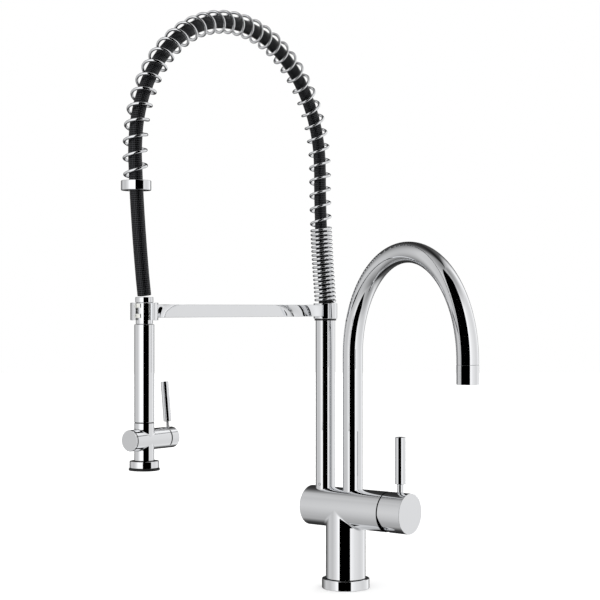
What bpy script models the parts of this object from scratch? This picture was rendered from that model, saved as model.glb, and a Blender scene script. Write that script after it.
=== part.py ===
"""Single-lever kitchen faucet with a swivel gooseneck and a spring-guarded pull-down spray.

Axes: +X along the barrel to the mixer handle, -Y to the front (over the sink), +Z up.
The origin is the centre of the underside of the base.
Pieces on the barrel are turned about the X axis: their profile heights are X positions.
Pieces of the spray valve are turned about the -Y axis: their heights are distances along -Y.
"""
import math

import bmesh
import bpy
from mathutils import Matrix, Vector

MM = 0.001
GAP = 0.3 * MM  # kept between faces that touch

COARSE = 14  # segments round hidden pieces
MEDIUM = 20
FINE = 32  # segments round the large visible pieces

# Base and body
FLANGE_R = 27.5 * MM
FLANGE_TOP = 11.2 * MM
GASKET_R = (22.2 * MM, 25.2 * MM)
GASKET_H = 1.6 * MM
POST_R = 23.0 * MM
POST_BORE_R = 18.0 * MM
POST_BORE_TOP = 66.0 * MM
INSERT_H = 22.0 * MM
HOSE_PORT_R = 5.2 * MM
STUD_HOLE_R = 3.6 * MM
BASE_HOLE_OFFSET = 10.0 * MM
BARREL_R = 23.0 * MM
BARREL_Z = 92.3 * MM
BARREL_X = (-50.0 * MM, 59.0 * MM)
LEFT_BORE_R = 15.0 * MM
LEFT_BORE_END = -12.0 * MM
PLUG_R = 14.5 * MM
PLUG_END = -49.7 * MM
PLUG_START = -40.0 * MM
PLUG_GROOVE = (-43.2 * MM, -45.8 * MM)  # for the seal
PLUG_GROOVE_R = 12.6 * MM

# Mixer, along +X from the barrel's centre
MIXER_BORE_R = 18.5 * MM
MIXER_FLOOR = 24.0 * MM
CARTRIDGE_R = 17.5 * MM
PORT_R = 2.2 * MM
OUTLET = (0.0, -1.3 * MM)
INLETS = ((-8.0 * MM, -13.3 * MM), (8.0 * MM, -13.3 * MM))
STEM_PIVOT_X = 56.0 * MM
STEM_R = 4.0 * MM
DOME_R = 19.5 * MM
CAP_X = (60.0 * MM, 90.0 * MM)
CAP_CAVITY_R = 20.6 * MM
CAP_FLOOR = 74.0 * MM
CAP_RELIEF_START = 2.0 * MM  # below the axis
CAP_RELIEF_ANGLE = math.radians(17.4)
LEVER_X = 76.4 * MM
LEVER_NECK_R = 3.65 * MM
LEVER_GRIP_R = 6.0 * MM
LEVER_Z = (115.6 * MM, 125.0 * MM, 178.2 * MM)  # foot, shoulder, top

# Swivel spout
SPOUT_X = 10.1 * MM
SPOUT_R = 11.5 * MM
SPOUT_WALL = 1.5 * MM
SPOUT_BEND_R = 115.0 * MM
SPOUT_SPRING_Z = 269.7 * MM  # where the arch starts
SPOUT_HEADING = math.radians(-23.2)
AERATOR_Z = (245.4 * MM, 265.4 * MM)
SPOUT_SEAT_R = 11.9 * MM
SPOUT_BORE_R = 8.8 * MM
SEAT_Z = 109.5 * MM  # floor of the two sockets in the top of the barrel

# Riser and boom
RISER_X = -29.5 * MM
RISER_R = 11.35 * MM
RISER_INNER_R = 9.95 * MM
RISER_TOP = 325.0 * MM
SET_SCREW_Z = 118.5 * MM
TOP_NIPPLE_Z = (312.0 * MM, 338.0 * MM)
ARM_Z = (311.5 * MM, 329.2 * MM)
ARM_BAR_Z = (314.0 * MM, 327.5 * MM)
ARM_BAR_T = 5.0 * MM
COLLAR_R = 13.8 * MM
COLLAR_BORE_R = 12.6 * MM
HEAD_Y = -305.0 * MM  # axis of the docked spray head
CLIP_R = (10.8 * MM, 14.1 * MM)
CLIP_OPENING = 17.4 * MM
CLIP_HEADING = math.radians(36.0)  # from -Y towards +X
LINER_R = (9.5 * MM, 10.5 * MM)
FINGER_Z = ((313.8 * MM, 318.0 * MM), (324.2 * MM, 328.3 * MM))

# Spring guard and hose
HOSE_R = 7.0 * MM
HOSE_END_GAP = 1.6 * MM  # leaves room for the hose's tilted ends
GUARD_R = 11.2 * MM  # mean radius of the coil
WIRE_R = 1.5 * MM
CLOSE_PITCH = 4.75 * MM
OPEN_PITCH = 16.2 * MM
GUARD_START_Z = 331.0 * MM
CLOSE_COIL_TOP = 417.0 * MM
POINTS_PER_TURN = 7
ARC_CENTRE = (-164.5 * MM, 484.0 * MM)  # Y and Z
ARC_HALF_WIDTH = 154.0 * MM
ARC_RISE = 149.5 * MM
LEAN_FOOT_Z = 335.0 * MM  # the hose starts to lean here, on both sides
RISE_BOW = 2.0
DROP_BOW = 1.5
RING_Z = 268.7 * MM  # where the arch starts
SPOUT_HEADING = math.radians(-23.2)
AERATOR_Z = (245.4 * MM, 265.4 * MM)
SPOUT_SEAT_R = 11.9 * MM
SPOUT_BORE_R = 8.8 * MM
SEAT_Z = 109.5 * MM  # floor of the two sockets in the top of the barrel

# Riser and boom
RISER_X = -29.5 * MM
RISER_R = 11.35 * MM
RISER_INNER_R = 9.95 * MM
RISER_TOP = 325.0 * MM
SET_SCREW_Z = 118.5 * MM
TOP_NIPPLE_Z = (312.0 * MM, 338.0 * MM)
ARM_Z = (311.5 * MM, 329.2 * MM)
ARM_BAR_Z = (314.0 * MM, 327.5 * MM)
ARM_BAR_T = 5.0 * MM
COLLAR_R = 13.8 * MM
COLLAR_BORE_R = 12.6 * MM
HEAD_Y = -305.0 * MM  # axis of the docked spray head
CLIP_R = (10.8 * MM, 14.1 * MM)
CLIP_OPENING = 17.4 * MM
CLIP_HEADING = math.radians(36.0)  # from -Y towards +X
LINER_R = (9.5 * MM, 10.5 * MM)
FINGER_Z = ((313.8 * MM, 318.0 * MM), (324.2 * MM, 328.3 * MM))

# Spring guard and hose
HOSE_R = 7.0 * MM
HOSE_END_GAP = 1.6 * MM  # leaves room for the hose's tilted ends
GUARD_R = 11.2 * MM  # mean radius of the coil
WIRE_R = 1.5 * MM
CLOSE_PITCH = 4.75 * MM
OPEN_PITCH = 16.2 * MM
GUARD_START_Z = 331.0 * MM
CLOSE_COIL_TOP = 417.0 * MM
POINTS_PER_TURN = 7
HOSE_RISE = ((0.6, 345.0), (4.3, 375.0), (7.9, 415.0), (10.2, 450.0), (13.2, 500.0), (21.5, 541.0))
HOSE_ARC = ((41.5, 577.0), (70.5, 605.0), (101.0, 621.5), (134.0, 630.8), (165.0, 633.5), (196.0, 630.8),
            (228.0, 619.8), (258.0, 601.0), (284.0, 575.0), (303.5, 545.0), (315.0, 513.0), (318.5, 480.0))
HOSE_DROP = ((316.8, 447.5), (314.4, 420.0), (311.2, 390.0), (307.2, 350.0))  # distance and height in mm
RING_Z = (442.5 * MM, 452.4 * MM)
RING_Y = -317.0 * MM
RING_R = 15.25 * MM

# Spray head
NUT_R = 9.1 * MM
NUT_Z = (329.3 * MM, 335.0 * MM)
NECK_R = 8.6 * MM
HANDLE_R = 10.1 * MM
HANDLE_INNER_R = 8.2 * MM
HANDLE_Z = (207.9 * MM, 307.3 * MM)
VALVE_Z = 190.5 * MM
VALVE_R = 10.75 * MM
VALVE_BORE_R = 7.2 * MM
KNOB = (263.0 * MM, 274.9 * MM)
VALVE_BODY = (275.2 * MM, 324.6 * MM)
PLUG_FACE = 326.6 * MM
SPRAY_LEVER_AT = 268.7 * MM
SPRAY_LEVER_LEAN = math.radians(6.0)
SPRAY_COLLAR_R = 14.9 * MM
SPRAY_FACE_R = 15.8 * MM
SPRAY_FACE_Z = 159.4 * MM
SPRAY_COLLAR_Z = (161.9 * MM, 168.9 * MM)

ALONG_Z = (0.0, 0.0, 0.0)
ALONG_X = (0.0, math.pi / 2, 0.0)
ALONG_MINUS_Y = (math.pi / 2, 0.0, 0.0)


def clear_scene():
    for obj in list(bpy.data.objects):
        bpy.data.objects.remove(obj, do_unlink=True)


def new_collection(name):
    collection = bpy.data.collections.new(name)
    bpy.context.scene.collection.children.link(collection)
    return collection


def new_material(name, colour, roughness, metallic):
    material = bpy.data.materials.new(name)
    material.use_nodes = True
    shader = material.node_tree.nodes["Principled BSDF"]
    shader.inputs["Base Color"].default_value = (*colour, 1.0)
    shader.inputs["Roughness"].default_value = roughness
    shader.inputs["Metallic"].default_value = metallic
    return material


clear_scene()
PARTS = new_collection("kitchen_faucet")
CUTTERS = new_collection("cutters")
CHROME = (0.80, 0.81, 0.82), 0.05, 1.0
BRASS = (0.72, 0.55, 0.28), 0.30, 1.0
STEEL = (0.60, 0.61, 0.62), 0.30, 1.0
CERAMIC = (0.86, 0.86, 0.84), 0.25, 0.0
PLASTIC = (0.80, 0.80, 0.78), 0.45, 0.0
DARK_PLASTIC = (0.05, 0.05, 0.05), 0.45, 0.0
RUBBER = (0.02, 0.02, 0.02), 0.60, 0.0


def add_object(name, mesh, finish=None, location=(0, 0, 0), rotation=ALONG_Z):
    """Link a mesh as a part, or as a cutter when it has no finish."""
    obj = bpy.data.objects.new(name, mesh)
    obj.location = location
    obj.rotation_euler = rotation
    if finish:
        PARTS.objects.link(obj)
        mesh.materials.append(new_material(name, *finish))
    else:
        CUTTERS.objects.link(obj)
        obj.hide_render = True
        obj.display_type = "WIRE"
    return obj


def disc(radius, bottom, top):
    """Profile of a solid cylinder."""
    return [(0, top), (radius, top), (radius, bottom), (0, bottom)]


def ring(outer, inner, bottom, top):
    """Profile of a tube or washer."""
    return [(outer, top), (outer, bottom), (inner, bottom), (inner, top), (outer, top)]


def turned(name, profile, finish=None, location=(0, 0, 0), rotation=ALONG_Z, steps=COARSE):
    """Turn a profile of (radius, height) points, given top to bottom on its outer side."""
    closed = profile[0] == profile[-1]
    points = profile[:-1] if closed else profile
    edges = [(i, i + 1) for i in range(len(points) - 1)]
    if closed:
        edges.append((len(points) - 1, 0))
    mesh = bpy.data.meshes.new(name)
    mesh.from_pydata([(radius, 0, height) for radius, height in points], edges, [])
    obj = add_object(name, mesh, finish, location, rotation)
    screw = obj.modifiers.new("turn", "SCREW")
    screw.steps = steps
    screw.render_steps = steps
    screw.use_merge_vertices = True
    screw.merge_threshold = 0.00001
    return obj


def torus(name, radius, section, height, finish, location, rotation=ALONG_Z, steps=COARSE, sides=6):
    """An O-ring: a round section turned about the axis."""
    turn = 2 * math.pi / sides
    profile = [(radius + section * math.cos(i * turn), height - section * math.sin(i * turn))
               for i in range(sides)]
    return turned(name, profile + profile[:1], finish, location, rotation, steps)


def box(name, low, high, finish=None, location=(0, 0, 0), rotation=ALONG_Z):
    """A box between two corners, in the object's own axes."""
    low = Vector(low)
    high = Vector(high)
    mesh = bpy.data.meshes.new(name)
    shape = bmesh.new()
    size = Matrix.Diagonal((*(high - low), 1.0))
    bmesh.ops.create_cube(shape, size=1.0, matrix=Matrix.Translation((low + high) / 2) @ size)
    shape.to_mesh(mesh)
    shape.free()
    return add_object(name, mesh, finish, location, rotation)


def combine(obj, other, operation="DIFFERENCE"):
    """Cut the other object out of this one, or join it on."""
    boolean = obj.modifiers.new(operation.lower(), "BOOLEAN")
    boolean.operation = operation
    boolean.solver = "EXACT"
    boolean.object = other


def drill(obj, name, radius, bottom, top, location=(0, 0, 0), rotation=ALONG_Z, steps=COARSE):
    """Cut a round hole between two heights along the given axis."""
    combine(obj, turned(name, disc(radius, bottom, top), None, location, rotation, steps))


def join(obj, other):
    """Join a cutter-collection shape onto a part."""
    combine(obj, other, "UNION")


def path_mesh(name, points, radius, sides, caps):
    """A mesh tube that follows a row of points."""
    curve = bpy.data.curves.new(name, "CURVE")
    curve.dimensions = "3D"
    curve.bevel_depth = radius
    curve.bevel_resolution = (sides - 4) // 2
    curve.use_fill_caps = caps
    spline = curve.splines.new("POLY")
    spline.points.add(len(points) - 1)
    for spline_point, place in zip(spline.points, points):
        spline_point.co = (*place, 1.0)
    guide = bpy.data.objects.new(name + "_path", curve)
    CUTTERS.objects.link(guide)
    bpy.context.view_layer.update()
    evaluated = guide.evaluated_get(bpy.context.evaluated_depsgraph_get())
    mesh = bpy.data.meshes.new_from_object(evaluated)
    bpy.data.objects.remove(guide, do_unlink=True)
    shape = bmesh.new()
    shape.from_mesh(mesh)
    bmesh.ops.remove_doubles(shape, verts=shape.verts, dist=0.00001)
    shape.to_mesh(mesh)
    shape.free()
    return mesh


def outline_mesh(name, outline, bottom, top):
    """A flat outline in X and Y, raised between two heights."""
    curve = bpy.data.curves.new(name, "CURVE")
    curve.dimensions = "2D"
    curve.fill_mode = "BOTH"
    curve.extrude = (top - bottom) / 2
    spline = curve.splines.new("POLY")
    spline.points.add(len(outline) - 1)
    for spline_point, place in zip(spline.points, outline):
        spline_point.co = (place[0], place[1], 0.0, 1.0)
    spline.use_cyclic_u = True
    guide = bpy.data.objects.new(name + "_outline", curve)
    CUTTERS.objects.link(guide)
    bpy.context.view_layer.update()
    evaluated = guide.evaluated_get(bpy.context.evaluated_depsgraph_get())
    mesh = bpy.data.meshes.new_from_object(evaluated)
    bpy.data.objects.remove(guide, do_unlink=True)
    mesh.transform(Matrix.Translation((0, 0, (bottom + top) / 2)))
    shape = bmesh.new()
    shape.from_mesh(mesh)
    bmesh.ops.remove_doubles(shape, verts=shape.verts, dist=0.00001)
    bmesh.ops.recalc_face_normals(shape, faces=shape.faces)
    shape.to_mesh(mesh)
    shape.free()
    return mesh


def arc_band(inner, outer, start, end, steps):
    """Outline of a part of a ring. Angles run from -Y towards +X."""
    angles = [start + (end - start) * i / steps for i in range(steps + 1)]
    around = [(math.sin(a), -math.cos(a)) for a in angles]
    return ([(outer * x, outer * y) for x, y in around]
            + [(inner * x, inner * y) for x, y in reversed(around)])


def joint_axis(name, location, pieces):
    """An empty on a joint's axis, with the pieces that turn or slide with it."""
    empty = bpy.data.objects.new(name, None)
    empty.location = location
    PARTS.objects.link(empty)
    bpy.context.view_layer.update()
    for piece in pieces:
        piece.parent = empty
        piece.matrix_parent_inverse = empty.matrix_world.inverted()
    return empty


def build_base():
    flange = turned("base_flange", ring(FLANGE_R, 18.5 * MM, 0, FLANGE_TOP), CHROME, steps=FINE)
    groove = ring(GASKET_R[1] + GAP, GASKET_R[0] - GAP, -2 * MM, GASKET_H + GAP)
    combine(flange, turned("gasket_groove", groove, steps=FINE))
    turned("deck_gasket", ring(GASKET_R[1], GASKET_R[0], 0, GASKET_H), RUBBER, steps=FINE)
    insert = turned("base_insert", disc(17.6 * MM, 0, INSERT_H), BRASS, steps=MEDIUM)
    for sign in (-1, 1):
        port_at = (0, sign * BASE_HOLE_OFFSET, 0)
        stud_at = (sign * BASE_HOLE_OFFSET, 0, 0)
        drill(insert, "hose_port", HOSE_PORT_R, -1 * MM, INSERT_H + 1 * MM, port_at)
        drill(insert, "stud_hole", STUD_HOLE_R, -1 * MM, INSERT_H + 1 * MM, stud_at)


def build_body():
    """The T-shaped casting: a post with the barrel across its top, bored for what it holds."""
    barrel_at = (0, 0, BARREL_Z)
    riser_at = (RISER_X, 0, 0)
    spout_at = (SPOUT_X, 0, 0)
    top = BARREL_Z + BARREL_R + 5 * MM
    body = turned("body_casting", disc(POST_R, FLANGE_TOP + GAP, BARREL_Z), CHROME, steps=FINE)
    join(body, turned("barrel", disc(BARREL_R, *BARREL_X), None, barrel_at, ALONG_X, FINE))
    drill(body, "post_bore", POST_BORE_R, 0, POST_BORE_TOP, steps=MEDIUM)
    drill(body, "left_bore", LEFT_BORE_R, -70 * MM, LEFT_BORE_END, barrel_at, ALONG_X, MEDIUM)
    drill(body, "mixer_bore", MIXER_BORE_R, MIXER_FLOOR, 70 * MM, barrel_at, ALONG_X, MEDIUM)
    drill(body, "riser_seat", RISER_R + 1.3 * GAP, SEAT_Z, top, riser_at, steps=MEDIUM)
    drill(body, "riser_hole", 7.9 * MM, BARREL_Z, SEAT_Z + 1 * MM, riser_at)
    drill(body, "spout_seat", SPOUT_SEAT_R, SEAT_Z, top, spout_at, steps=MEDIUM)
    drill(body, "spout_bore", SPOUT_BORE_R, 84 * MM, SEAT_Z + 1 * MM, spout_at)
    for y, height in INLETS:
        riser_port = (12 * MM, y, 0)
        cross_port = (0, y, BARREL_Z + height)
        drill(body, "inlet_up", PORT_R, 60 * MM, BARREL_Z + height + 1 * MM, riser_port)
        drill(body, "inlet_across", PORT_R, 11 * MM, 30 * MM, cross_port, ALONG_X)
    water_at = (0, 0, BARREL_Z + OUTLET[1])
    drill(body, "waterway", 3 * MM, -20 * MM, 30 * MM, water_at, ALONG_X)
    drill(body, "retainer_hole", 1.9 * MM, -30 * MM, -6 * MM, (SPOUT_X, 0, 103.3 * MM), ALONG_MINUS_Y)

    first, last = PLUG_GROOVE
    plug = [(0, PLUG_START), (PLUG_R, PLUG_START), (PLUG_R, first), (PLUG_GROOVE_R, first),
            (PLUG_GROOVE_R, last), (PLUG_R, last), (PLUG_R, PLUG_END), (0, PLUG_END)]
    turned("barrel_end_plug", plug, CHROME, barrel_at, ALONG_X, MEDIUM)
    seal_r = 0.8 * MM
    torus("end_plug_seal", PLUG_R - seal_r, seal_r, (first + last) / 2, RUBBER, barrel_at, ALONG_X, MEDIUM)


def build_diverter():
    """A spring-free shuttle that opens the riser when the spray valve is opened."""
    barrel_at = (0, 0, BARREL_Z)
    sleeve = [(14.4 * MM, LEFT_BORE_END - GAP), (14.4 * MM, -15 * MM), (9 * MM, -15 * MM),
              (9 * MM, -38 * MM), (6.8 * MM, -38 * MM), (6.8 * MM, LEFT_BORE_END - GAP),
              (14.4 * MM, LEFT_BORE_END - GAP)]
    turned("diverter_sleeve", sleeve, BRASS, barrel_at, ALONG_X)
    piston = [(0, -16 * MM), (6.3 * MM, -16 * MM), (6.3 * MM, -19 * MM), (3 * MM, -19 * MM),
              (3 * MM, -29 * MM), (6.3 * MM, -29 * MM), (6.3 * MM, -32 * MM), (0, -32 * MM)]
    piston = turned("diverter_piston", piston, DARK_PLASTIC, barrel_at, ALONG_X)
    joint_axis("diverter_slide", barrel_at, [piston])


def build_riser():
    at = (RISER_X, 0, 0)
    foot = SEAT_Z + GAP
    nipple = [(9.6 * MM, 136 * MM), (9.6 * MM, 131.2 * MM), (8.1 * MM, 131.2 * MM),
              (8.1 * MM, 128.8 * MM), (9.6 * MM, 128.8 * MM), (9.6 * MM, foot),
              (7.5 * MM, foot), (7.5 * MM, 104 * MM), (5 * MM, 104 * MM), (5 * MM, 136 * MM),
              (9.6 * MM, 136 * MM)]
    nipple = turned("riser_nipple", nipple, BRASS, at)
    drill(nipple, "screw_dimple", 1.9 * MM, 8.5 * MM, 12 * MM, (RISER_X, 0, SET_SCREW_Z), ALONG_MINUS_Y)
    torus("riser_nipple_seal", 9.0 * MM, 0.6 * MM, 130 * MM, RUBBER, at)
    tube = turned("riser_tube", ring(RISER_R, RISER_INNER_R, foot, RISER_TOP), CHROME, at, steps=FINE)
    drill(tube, "screw_hole", 1.9 * MM, 8 * MM, 14 * MM, (RISER_X, 0, SET_SCREW_Z), ALONG_MINUS_Y)
    screw_at = (RISER_X, 0, SET_SCREW_Z)
    turned("riser_set_screw", disc(1.5 * MM, 8.9 * MM, 11.0 * MM), STEEL, screw_at, ALONG_MINUS_Y)
    foot, top = TOP_NIPPLE_Z
    flange_top = RISER_TOP + 3.8 * MM
    bore, spigot, stub = 5 * MM, 9.5 * MM, 7.8 * MM
    top_nipple = [(stub, top), (stub, flange_top), (RISER_R, flange_top), (RISER_R, RISER_TOP + GAP),
                  (spigot, RISER_TOP + GAP), (spigot, foot), (bore, foot), (bore, top), (stub, top)]
    turned("riser_top_nipple", top_nipple, DARK_PLASTIC, at, steps=MEDIUM)
    thrust = ring(12.7 * MM, RISER_R + GAP, 309.2 * MM, ARM_Z[0] - GAP)
    turned("arm_thrust_ring", thrust, DARK_PLASTIC, at, steps=MEDIUM)


def build_mixer():
    at = (0, 0, BARREL_Z)
    ports = [(y, height) for y, height in (OUTLET, *INLETS)]
    seal = turned("cartridge_seal", disc(17.4 * MM, 24.3 * MM, 25.3 * MM), RUBBER, at, ALONG_X, MEDIUM)
    shell = [(15.4 * MM, 52 * MM), (15.4 * MM, 46 * MM), (CARTRIDGE_R, 46 * MM),
             (CARTRIDGE_R, 25.6 * MM), (0, 25.6 * MM), (0, 34 * MM), (13.7 * MM, 34 * MM),
             (13.7 * MM, 52 * MM)]
    shell = turned("cartridge_body", shell + shell[:1], PLASTIC, at, ALONG_X, MEDIUM)
    fixed = turned("ceramic_disc_fixed", disc(13.2 * MM, 34.3 * MM, 36.7 * MM), CERAMIC, at, ALONG_X,
                   MEDIUM)
    for index, (y, height) in enumerate(ports):
        port_at = (0, y, BARREL_Z + height)
        drill(seal, "seal_port", PORT_R, 20 * MM, 30 * MM, port_at, ALONG_X)
        drill(shell, "cartridge_port", PORT_R, 20 * MM, 35 * MM, port_at, ALONG_X)
        if index:
            port_at = (0, y * 0.75, BARREL_Z + height * 0.45)
        drill(fixed, "disc_port", PORT_R, 34 * MM, 37 * MM, port_at, ALONG_X)
    turned("cartridge_nut", ring(18.1 * MM, 15.8 * MM, 46.3 * MM, 52.3 * MM), BRASS, at, ALONG_X, MEDIUM)
    build_dome(at)

    carrier = turned("cartridge_carrier", [(0, 62 * MM), (11 * MM, 62 * MM), (11 * MM, 52 * MM),
                                           (13.3 * MM, 52 * MM), (13.3 * MM, 40.4 * MM),
                                           (0, 40.4 * MM)], PLASTIC, at, ALONG_X, MEDIUM)
    slot = box("stem_slot", (-8 * MM, -4.5 * MM, 38 * MM), (8 * MM, 4.5 * MM, 65 * MM), None, at, ALONG_X)
    combine(carrier, slot)
    pin_at = (STEM_PIVOT_X, 0, BARREL_Z)
    drill(carrier, "pin_bore", 1.8 * MM, -15 * MM, 15 * MM, pin_at, ALONG_MINUS_Y)
    pin = turned("stem_pivot_pin", disc(1.5 * MM, -10.4 * MM, 10.4 * MM), STEEL, pin_at, ALONG_MINUS_Y)
    joint_axis("mixer_turn", at, [carrier, pin])

    moving = turned("ceramic_disc_moving", disc(8.5 * MM, 37.0 * MM, 40.0 * MM), CERAMIC, at, ALONG_X)
    drill(moving, "stem_pocket", 3.2 * MM, 37.8 * MM, 41 * MM, at, ALONG_X)
    joint_axis("disc_slide", at, [moving])

    stem = turned("cartridge_stem", [(0, 81.5 * MM), (STEM_R, 81.5 * MM), (STEM_R, 43 * MM),
                                     (2.5 * MM, 43 * MM), (2.5 * MM, 38.2 * MM), (0, 38.2 * MM)],
                  STEEL, at, ALONG_X)
    drill(stem, "stem_hole", 1.8 * MM, -6 * MM, 6 * MM, pin_at, ALONG_MINUS_Y)
    cap, screw, lever = build_handle(at)
    joint_axis("mixer_lift", pin_at, [stem, cap, screw, lever])


def build_dome(at):
    """The trim ring over the cartridge, a band of a sphere about the stem's pivot."""
    shell = 1.2 * MM
    start = math.acos(3.3 * MM / DOME_R)
    end = math.radians(45)
    steps = 3
    angles = [end + (start - end) * i / steps for i in range(steps + 1)]
    outer = [(DOME_R * math.sin(a), STEM_PIVOT_X + DOME_R * math.cos(a)) for a in angles]
    inner_r = DOME_R - shell
    inner = [(inner_r * math.sin(a), STEM_PIVOT_X + inner_r * math.cos(a))
             for a in reversed(angles) if inner_r * math.sin(a) < 17.0 * MM]
    edge = BARREL_X[1] + GAP
    profile = outer + [(18.1 * MM, edge), (18.1 * MM, 52.6 * MM), (16.6 * MM, 52.6 * MM)]
    knee = STEM_PIVOT_X + math.sqrt(inner_r ** 2 - (16.6 * MM) ** 2)
    profile += [(16.6 * MM, knee)] + [point for point in inner if point[0] < 16.6 * MM]
    turned("cartridge_dome", profile + profile[:1], CHROME, at, ALONG_X, MEDIUM)


def build_handle(at):
    """The handle cap, its lever and the screw that holds it on the stem."""
    boss = 7.5 * MM
    profile = [(0, CAP_X[1]), (BARREL_R, CAP_X[1]), (BARREL_R, CAP_X[0]), (CAP_CAVITY_R, CAP_X[0]),
               (CAP_CAVITY_R, CAP_FLOOR), (boss, CAP_FLOOR), (boss, 71 * MM), (0, 71 * MM)]
    cap = turned("handle_cap", profile, CHROME, at, ALONG_X, FINE)
    relief_at = (CAP_X[0], 0, BARREL_Z - CAP_RELIEF_START)
    relief = box("lift_relief", (-40 * MM, -30 * MM, -40 * MM), (0, 30 * MM, 0), None, relief_at,
                 (0, -CAP_RELIEF_ANGLE, 0))
    combine(cap, relief)
    drill(cap, "stem_socket", STEM_R + 1.3 * GAP, 70 * MM, 82 * MM, at, ALONG_X)
    lever_at = (LEVER_X, 0, BARREL_Z)
    drill(cap, "lever_hole", 2.6 * MM, 11 * MM, 26 * MM, lever_at)
    screw_at = (79.5 * MM, 0, BARREL_Z)
    drill(cap, "screw_hole", 2.3 * MM, -25 * MM, -4.5 * MM, screw_at, ALONG_MINUS_Y)
    screw = turned("handle_set_screw", disc(2.0 * MM, -13 * MM, -4.7 * MM), STEEL, screw_at, ALONG_MINUS_Y)
    foot, shoulder, top = (height - BARREL_Z for height in LEVER_Z)
    profile = [(0, top), (LEVER_GRIP_R - 0.8 * MM, top), (LEVER_GRIP_R, top - 0.8 * MM),
               (LEVER_GRIP_R, shoulder), (LEVER_NECK_R, shoulder), (LEVER_NECK_R, foot),
               (2.2 * MM, foot), (2.2 * MM, 12 * MM), (0, 12 * MM)]
    lever = turned("mixer_lever", profile, CHROME, lever_at, steps=MEDIUM)
    return cap, screw, lever


def spout_route():
    """Centre line of the gooseneck: up, over in a half circle and down to the aerator."""
    across = Vector((math.cos(SPOUT_HEADING), math.sin(SPOUT_HEADING), 0))
    points = [Vector((SPOUT_X, 0, SEAT_Z + 1.7 * MM))]
    steps = 16
    for i in range(steps + 1):
        angle = math.pi * i / steps
        forward = SPOUT_BEND_R * (1 - math.cos(angle))
        height = SPOUT_SPRING_Z + SPOUT_BEND_R * math.sin(angle)
        points.append(Vector((SPOUT_X, 0, height)) + across * forward)
    outlet = points[-1].copy()
    outlet.z = AERATOR_Z[1] + GAP
    return points + [outlet]


def build_spout():
    at = (SPOUT_X, 0, 0)
    route = spout_route()
    mesh = path_mesh("gooseneck_tube", route, SPOUT_R, 16, False)
    tube = add_object("gooseneck_tube", mesh, CHROME)
    wall = tube.modifiers.new("wall", "SOLIDIFY")
    wall.thickness = SPOUT_WALL
    wall.offset = -1
    wall.use_even_offset = True

    foot = SEAT_Z + 1.7 * MM
    washer = turned("spout_swivel_washer", ring(11.4 * MM, 9.0 * MM, SEAT_Z + GAP, foot - GAP),
                    PLASTIC, at)
    lip = 8.45 * MM
    nipple = [(9.5 * MM, 132 * MM), (9.5 * MM, foot), (lip, foot)]
    for centre, half, floor in ((107.2, 1.05, 6.7), (103.3, 2.0, 7.2), (99.4, 1.05, 6.7)):
        nipple += [(lip, (centre + half) * MM), (floor * MM, (centre + half) * MM),
                   (floor * MM, (centre - half) * MM), (lip, (centre - half) * MM)]
    nipple += [(lip, 97 * MM), (5 * MM, 97 * MM), (5 * MM, 132 * MM)]
    nipple = turned("spout_nipple", nipple + nipple[:1], BRASS, at)
    upper = torus("spout_oring_upper", 7.7 * MM, 0.7 * MM, 107.2 * MM, RUBBER, at)
    lower = torus("spout_oring_lower", 7.7 * MM, 0.7 * MM, 99.4 * MM, RUBBER, at)
    screw_at = (SPOUT_X, 0, 103.3 * MM)
    turned("spout_retaining_screw", disc(1.6 * MM, -19.0 * MM, -7.8 * MM), STEEL, screw_at, ALONG_MINUS_Y)

    end = (route[-1].x, route[-1].y, 0)
    sleeve = turned("aerator_sleeve", ring(SPOUT_R + 0.1 * MM, 10.2 * MM, *AERATOR_Z), CHROME, end,
                    steps=FINE)
    low = AERATOR_Z[0] + 1.2 * MM
    insert = turned("aerator_insert", ring(9.8 * MM, 2 * MM, low, low + 9 * MM), PLASTIC, end)
    seal = turned("aerator_washer", ring(9.8 * MM, 6 * MM, low + 9.3 * MM, low + 11.3 * MM), RUBBER, end)
    joint_axis("spout_swivel", at, [tube, washer, nipple, upper, lower, sleeve, insert, seal])


def build_arm():
    """The arm that turns on the riser and docks the spray head."""
    at = (RISER_X, 0, 0)
    head_at = (RISER_X, HEAD_Y, 0)
    half = ARM_BAR_T / 2
    arm = box("holder_arm", (-half, HEAD_Y + 12 * MM, ARM_BAR_Z[0]), (half, -12 * MM, ARM_BAR_Z[1]),
              CHROME, at)
    join(arm, turned("arm_collar", disc(COLLAR_R, *ARM_Z), None, at, steps=FINE))
    join(arm, turned("clip_ring", disc(CLIP_R[1], *ARM_Z), None, head_at, steps=FINE))
    through = (ARM_Z[0] - 1 * MM, ARM_Z[1] + 1 * MM)
    drill(arm, "collar_bore", COLLAR_BORE_R, *through, at, steps=MEDIUM)
    drill(arm, "clip_bore", CLIP_R[0], *through, head_at, steps=MEDIUM)
    half = CLIP_OPENING / 2
    mouth = box("clip_mouth", (-half, -25 * MM, through[0]), (half, 0, through[1]), None, head_at,
                (0, 0, CLIP_HEADING))
    combine(arm, mouth)
    bush = turned("collar_bush", ring(12.3 * MM, RISER_R + GAP, ARM_Z[0] + GAP, ARM_Z[1] - 0.4 * MM),
                  DARK_PLASTIC, at, steps=MEDIUM)

    spread = math.asin(half / LINER_R[1])
    band = arc_band(*LINER_R, CLIP_HEADING + spread, CLIP_HEADING - spread + 2 * math.pi, 14)
    mesh = outline_mesh("clip_liner", band, ARM_Z[0] + GAP, ARM_Z[1] - GAP)
    liner = add_object("clip_liner", mesh, PLASTIC, head_at)
    finger = arc_band(*LINER_R, CLIP_HEADING - spread - 0.1, math.radians(18), 4)
    for bottom, top in FINGER_Z:
        join(liner, add_object("liner_finger", outline_mesh("liner_finger", finger, bottom, top),
                               None, head_at))
    return [arm, bush, liner]


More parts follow.
